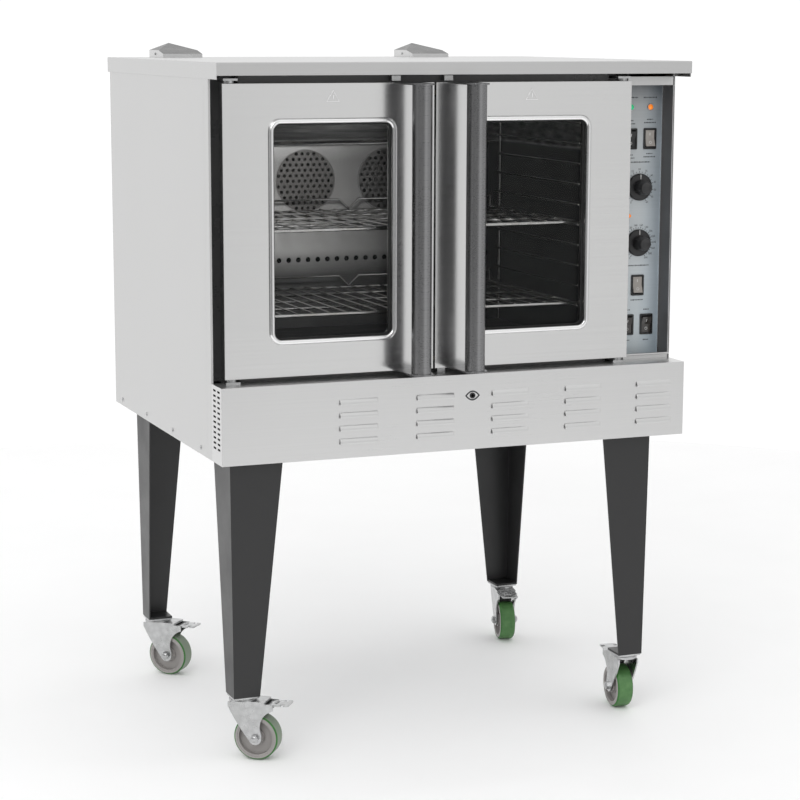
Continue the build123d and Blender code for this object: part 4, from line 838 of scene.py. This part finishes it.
def caster_details(corner):
    """Race, hub faces, axle nuts and brake block of one caster."""
    swivel = Vector(JOINTS["swivel_" + corner]["pos_m"])
    axle = Vector(JOINTS["wheel_" + corner + "_spin"]["pos_m"])
    across = Vector(JOINTS["wheel_" + corner + "_spin"]["axis"])
    trail = Vector((axle.x - swivel.x, axle.y - swivel.y, 0)).normalized()
    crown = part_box("caster_fork_" + corner)[1].z
    wheel, caster = "wheel_" + corner, "caster_" + corner
    # pressed race under the plate
    race = [(0.0165, -0.0004), (0.0235, -0.0004), (0.0262, -0.0016), (0.0266, -0.0034), (0.0255, -0.0044),
            (0.0165, -0.0040)]
    at = placed((swivel.x, swivel.y, crown), (0, 0, 1), trail)
    turned("race." + corner, race, at, 56, caster, zinc, "zinc")
    # on each side: the core's turned boss, its pale lip over the tyre's side, and a domed nut on the axle
    boss = [(0.0052, 0.0), (0.0145, 0.0), (0.0160, 0.0008), (0.0160, 0.0040), (0.0140, 0.0062),
            (0.0085, 0.0066), (0.0052, 0.0066)]
    outer = axle.z * CORE_SHARE
    lip = [(outer - 0.0052, -0.0005), (outer, -0.0005), (outer - 0.0006, 0.0007), (outer - 0.0046, 0.0009)]
    nut = [(0.0001, -0.003), (0.0062, -0.003), (0.0062, 0.0004), (0.0050, 0.0018), (0.0026, 0.0026),
           (0.0001, 0.0028)]
    for side, end in ((-1, "b"), (1, "a")):
        for name, profile, offset, steps, body, material, slot in (
                ("hub_boss", boss, BOSS_ROOT, 48, wheel, hub_plastic, "wheel_core"),
                ("hub_lip", lip, WHEEL_HALF, 96, wheel, hub_plastic, "wheel_core"),
                ("axle_nut", nut, NUT_FACE, 32, caster, zinc, "zinc")):
            at = placed(axle + across * (side * offset), across * side, (0, 0, 1))
            turned(f"{name}.{corner}.{end}", profile, at, steps, body, material, slot)
    # black brake block over the tread, wrapped round the lever's own
    wheel_top = 2 * axle.z
    outline = [(-0.0086, 0.0075), (-0.0056, 0.0007), (0.0046, 0.0007), (0.0110, 0.0072), (0.0115, 0.0180),
               (-0.0090, 0.0180)]
    start = Vector((swivel.x, swivel.y, wheel_top)) + trail * BLOCK_BACK - across * (BLOCK_WIDTH / 2)
    matrix = placed(start, across, trail)
    upward = 1 if (matrix.to_3x3().inverted() @ Vector((0, 0, 1))).y > 0 else -1
    bm = bmesh.new()
    prism(bm, [(x, z * upward) for x, z in outline], matrix, BLOCK_WIDTH)
    new_piece("brake_block." + corner, bm, "brake_" + corner, rubber, "black_plastic", smooth=False)


for corner in CORNERS:
    caster_details(corner)


# ---------------------------------------------------------------- floor, light and camera
FLOOR_RADIUS = 3.0
FLOOR_DROP = 0.0005         # keeps the wheels clear of the floor
WORLD_LIGHT = 1.05
LEAST_GLOSS = 0.22
DARK_ENDS = (               # direction, where the dimming starts and ends as a cosine, and its strength
    ((-0.42, -0.90, 0.0), 0.66, 0.98, -0.74),
    ((0.98, -0.2, 0.0), 0.35, 1.0, -0.42),
    ((-1.0, -0.05, 0.0), 0.55, 0.95, -0.62),
)


def area_light(name, place, target, size, power):
    """A rectangular light at a place, aimed at a target."""
    light = bpy.data.lights.new(name, "AREA")
    light.shape = "RECTANGLE"
    light.size, light.size_y = size
    light.energy = power
    holder = bpy.data.objects.new(name, light)
    bpy.context.scene.collection.objects.link(holder)
    holder.location = place
    holder.rotation_euler = (Vector(target) - Vector(place)).to_track_quat("-Z", "Y").to_euler()
    return holder


def studio_floor():
    """A pale disc under the oven; past its edge the white studio takes over."""
    finish = Finish("studio_floor", 0.0, 0.7)
    finish.feed("Base Color", finish.ramp(finish.noise(2.0), (0.3, grey(0.93)), (0.7, grey(0.95))))
    bm = bmesh.new()
    bmesh.ops.create_circle(bm, cap_ends=True, radius=FLOOR_RADIUS, segments=96)
    mesh = bpy.data.meshes.new("floor")
    bm.to_mesh(mesh)
    bm.free()
    mesh.materials.append(finish.material)
    floor = bpy.data.objects.new("floor", mesh)
    bpy.context.scene.collection.objects.link(floor)
    floor.location.z = -FLOOR_DROP


def studio_world():
    """White to the eye and as soft light; its reflections are dimmer towards the studio's dark ends."""
    world = bpy.data.worlds.new("studio")
    bpy.context.scene.world = world
    world.use_nodes = True
    tree = world.node_tree
    background = tree.nodes["Background"]
    background.inputs["Color"].default_value = (1.0, 1.0, 1.0, 1)

    ray = tree.nodes.new("ShaderNodeTexCoord").outputs["Generated"]
    path = tree.nodes.new("ShaderNodeLightPath").outputs
    gloss = 1.0
    for direction, start, end, amount in DARK_ENDS:
        step = tree.nodes.new("ShaderNodeMapRange")
        step.interpolation_type = "SMOOTHSTEP"
        facing = cosine(tree, ray, Vector(direction).normalized())
        tree.links.new(facing, step.inputs["Value"])
        step.inputs["From Min"].default_value = start
        step.inputs["From Max"].default_value = end
        step.inputs["To Max"].default_value = amount
        gloss = maths(tree, "ADD", gloss, step.outputs["Result"])
    gloss = maths(tree, "MAXIMUM", gloss, LEAST_GLOSS)
    change = maths(tree, "MULTIPLY", path["Is Glossy Ray"], maths(tree, "SUBTRACT", gloss, WORLD_LIGHT))
    tree.links.new(maths(tree, "ADD", change, WORLD_LIGHT), background.inputs["Strength"])


studio_floor()
studio_world()
area_light("key", (-2.6, -3.2, 3.4), (0, 0, 0.9), (2.4, 2.4), 45)
cavity_light = area_light("inside", (-0.30, -0.18, 1.235), (-0.22, 0.13, 0.95), (0.10, 0.10), 3.2)
cavity_light.visible_glossy = False

# the camera stands left of the oven's front and above its middle
CAMERA_X = -1.64735
CAMERA_BACK = 3.82653       # in front of the lower panel's face
CAMERA_RISE = 0.79747       # above the lower panel's foot
CAMERA_YAW, CAMERA_PITCH, CAMERA_ROLL = 0.377845, 0.166613, 0.00261
CAMERA_LENS = 98.746
camera_data = bpy.data.cameras.new("camera")
camera_data.sensor_width = 36.0
camera_data.lens = CAMERA_LENS
camera = bpy.data.objects.new("camera", camera_data)
bpy.context.scene.collection.objects.link(camera)
camera.matrix_world = (Matrix.Translation((CAMERA_X, face_y - CAMERA_BACK, panel_low.z + CAMERA_RISE))
                       @ Matrix.Rotation(-CAMERA_YAW, 4, "Z")
                       @ Matrix.Rotation(math.pi / 2 - CAMERA_PITCH, 4, "X")
                       @ Matrix.Rotation(CAMERA_ROLL, 4, "Z"))
bpy.context.scene.camera = camera
bpy.context.scene.view_settings.view_transform = "Standard"
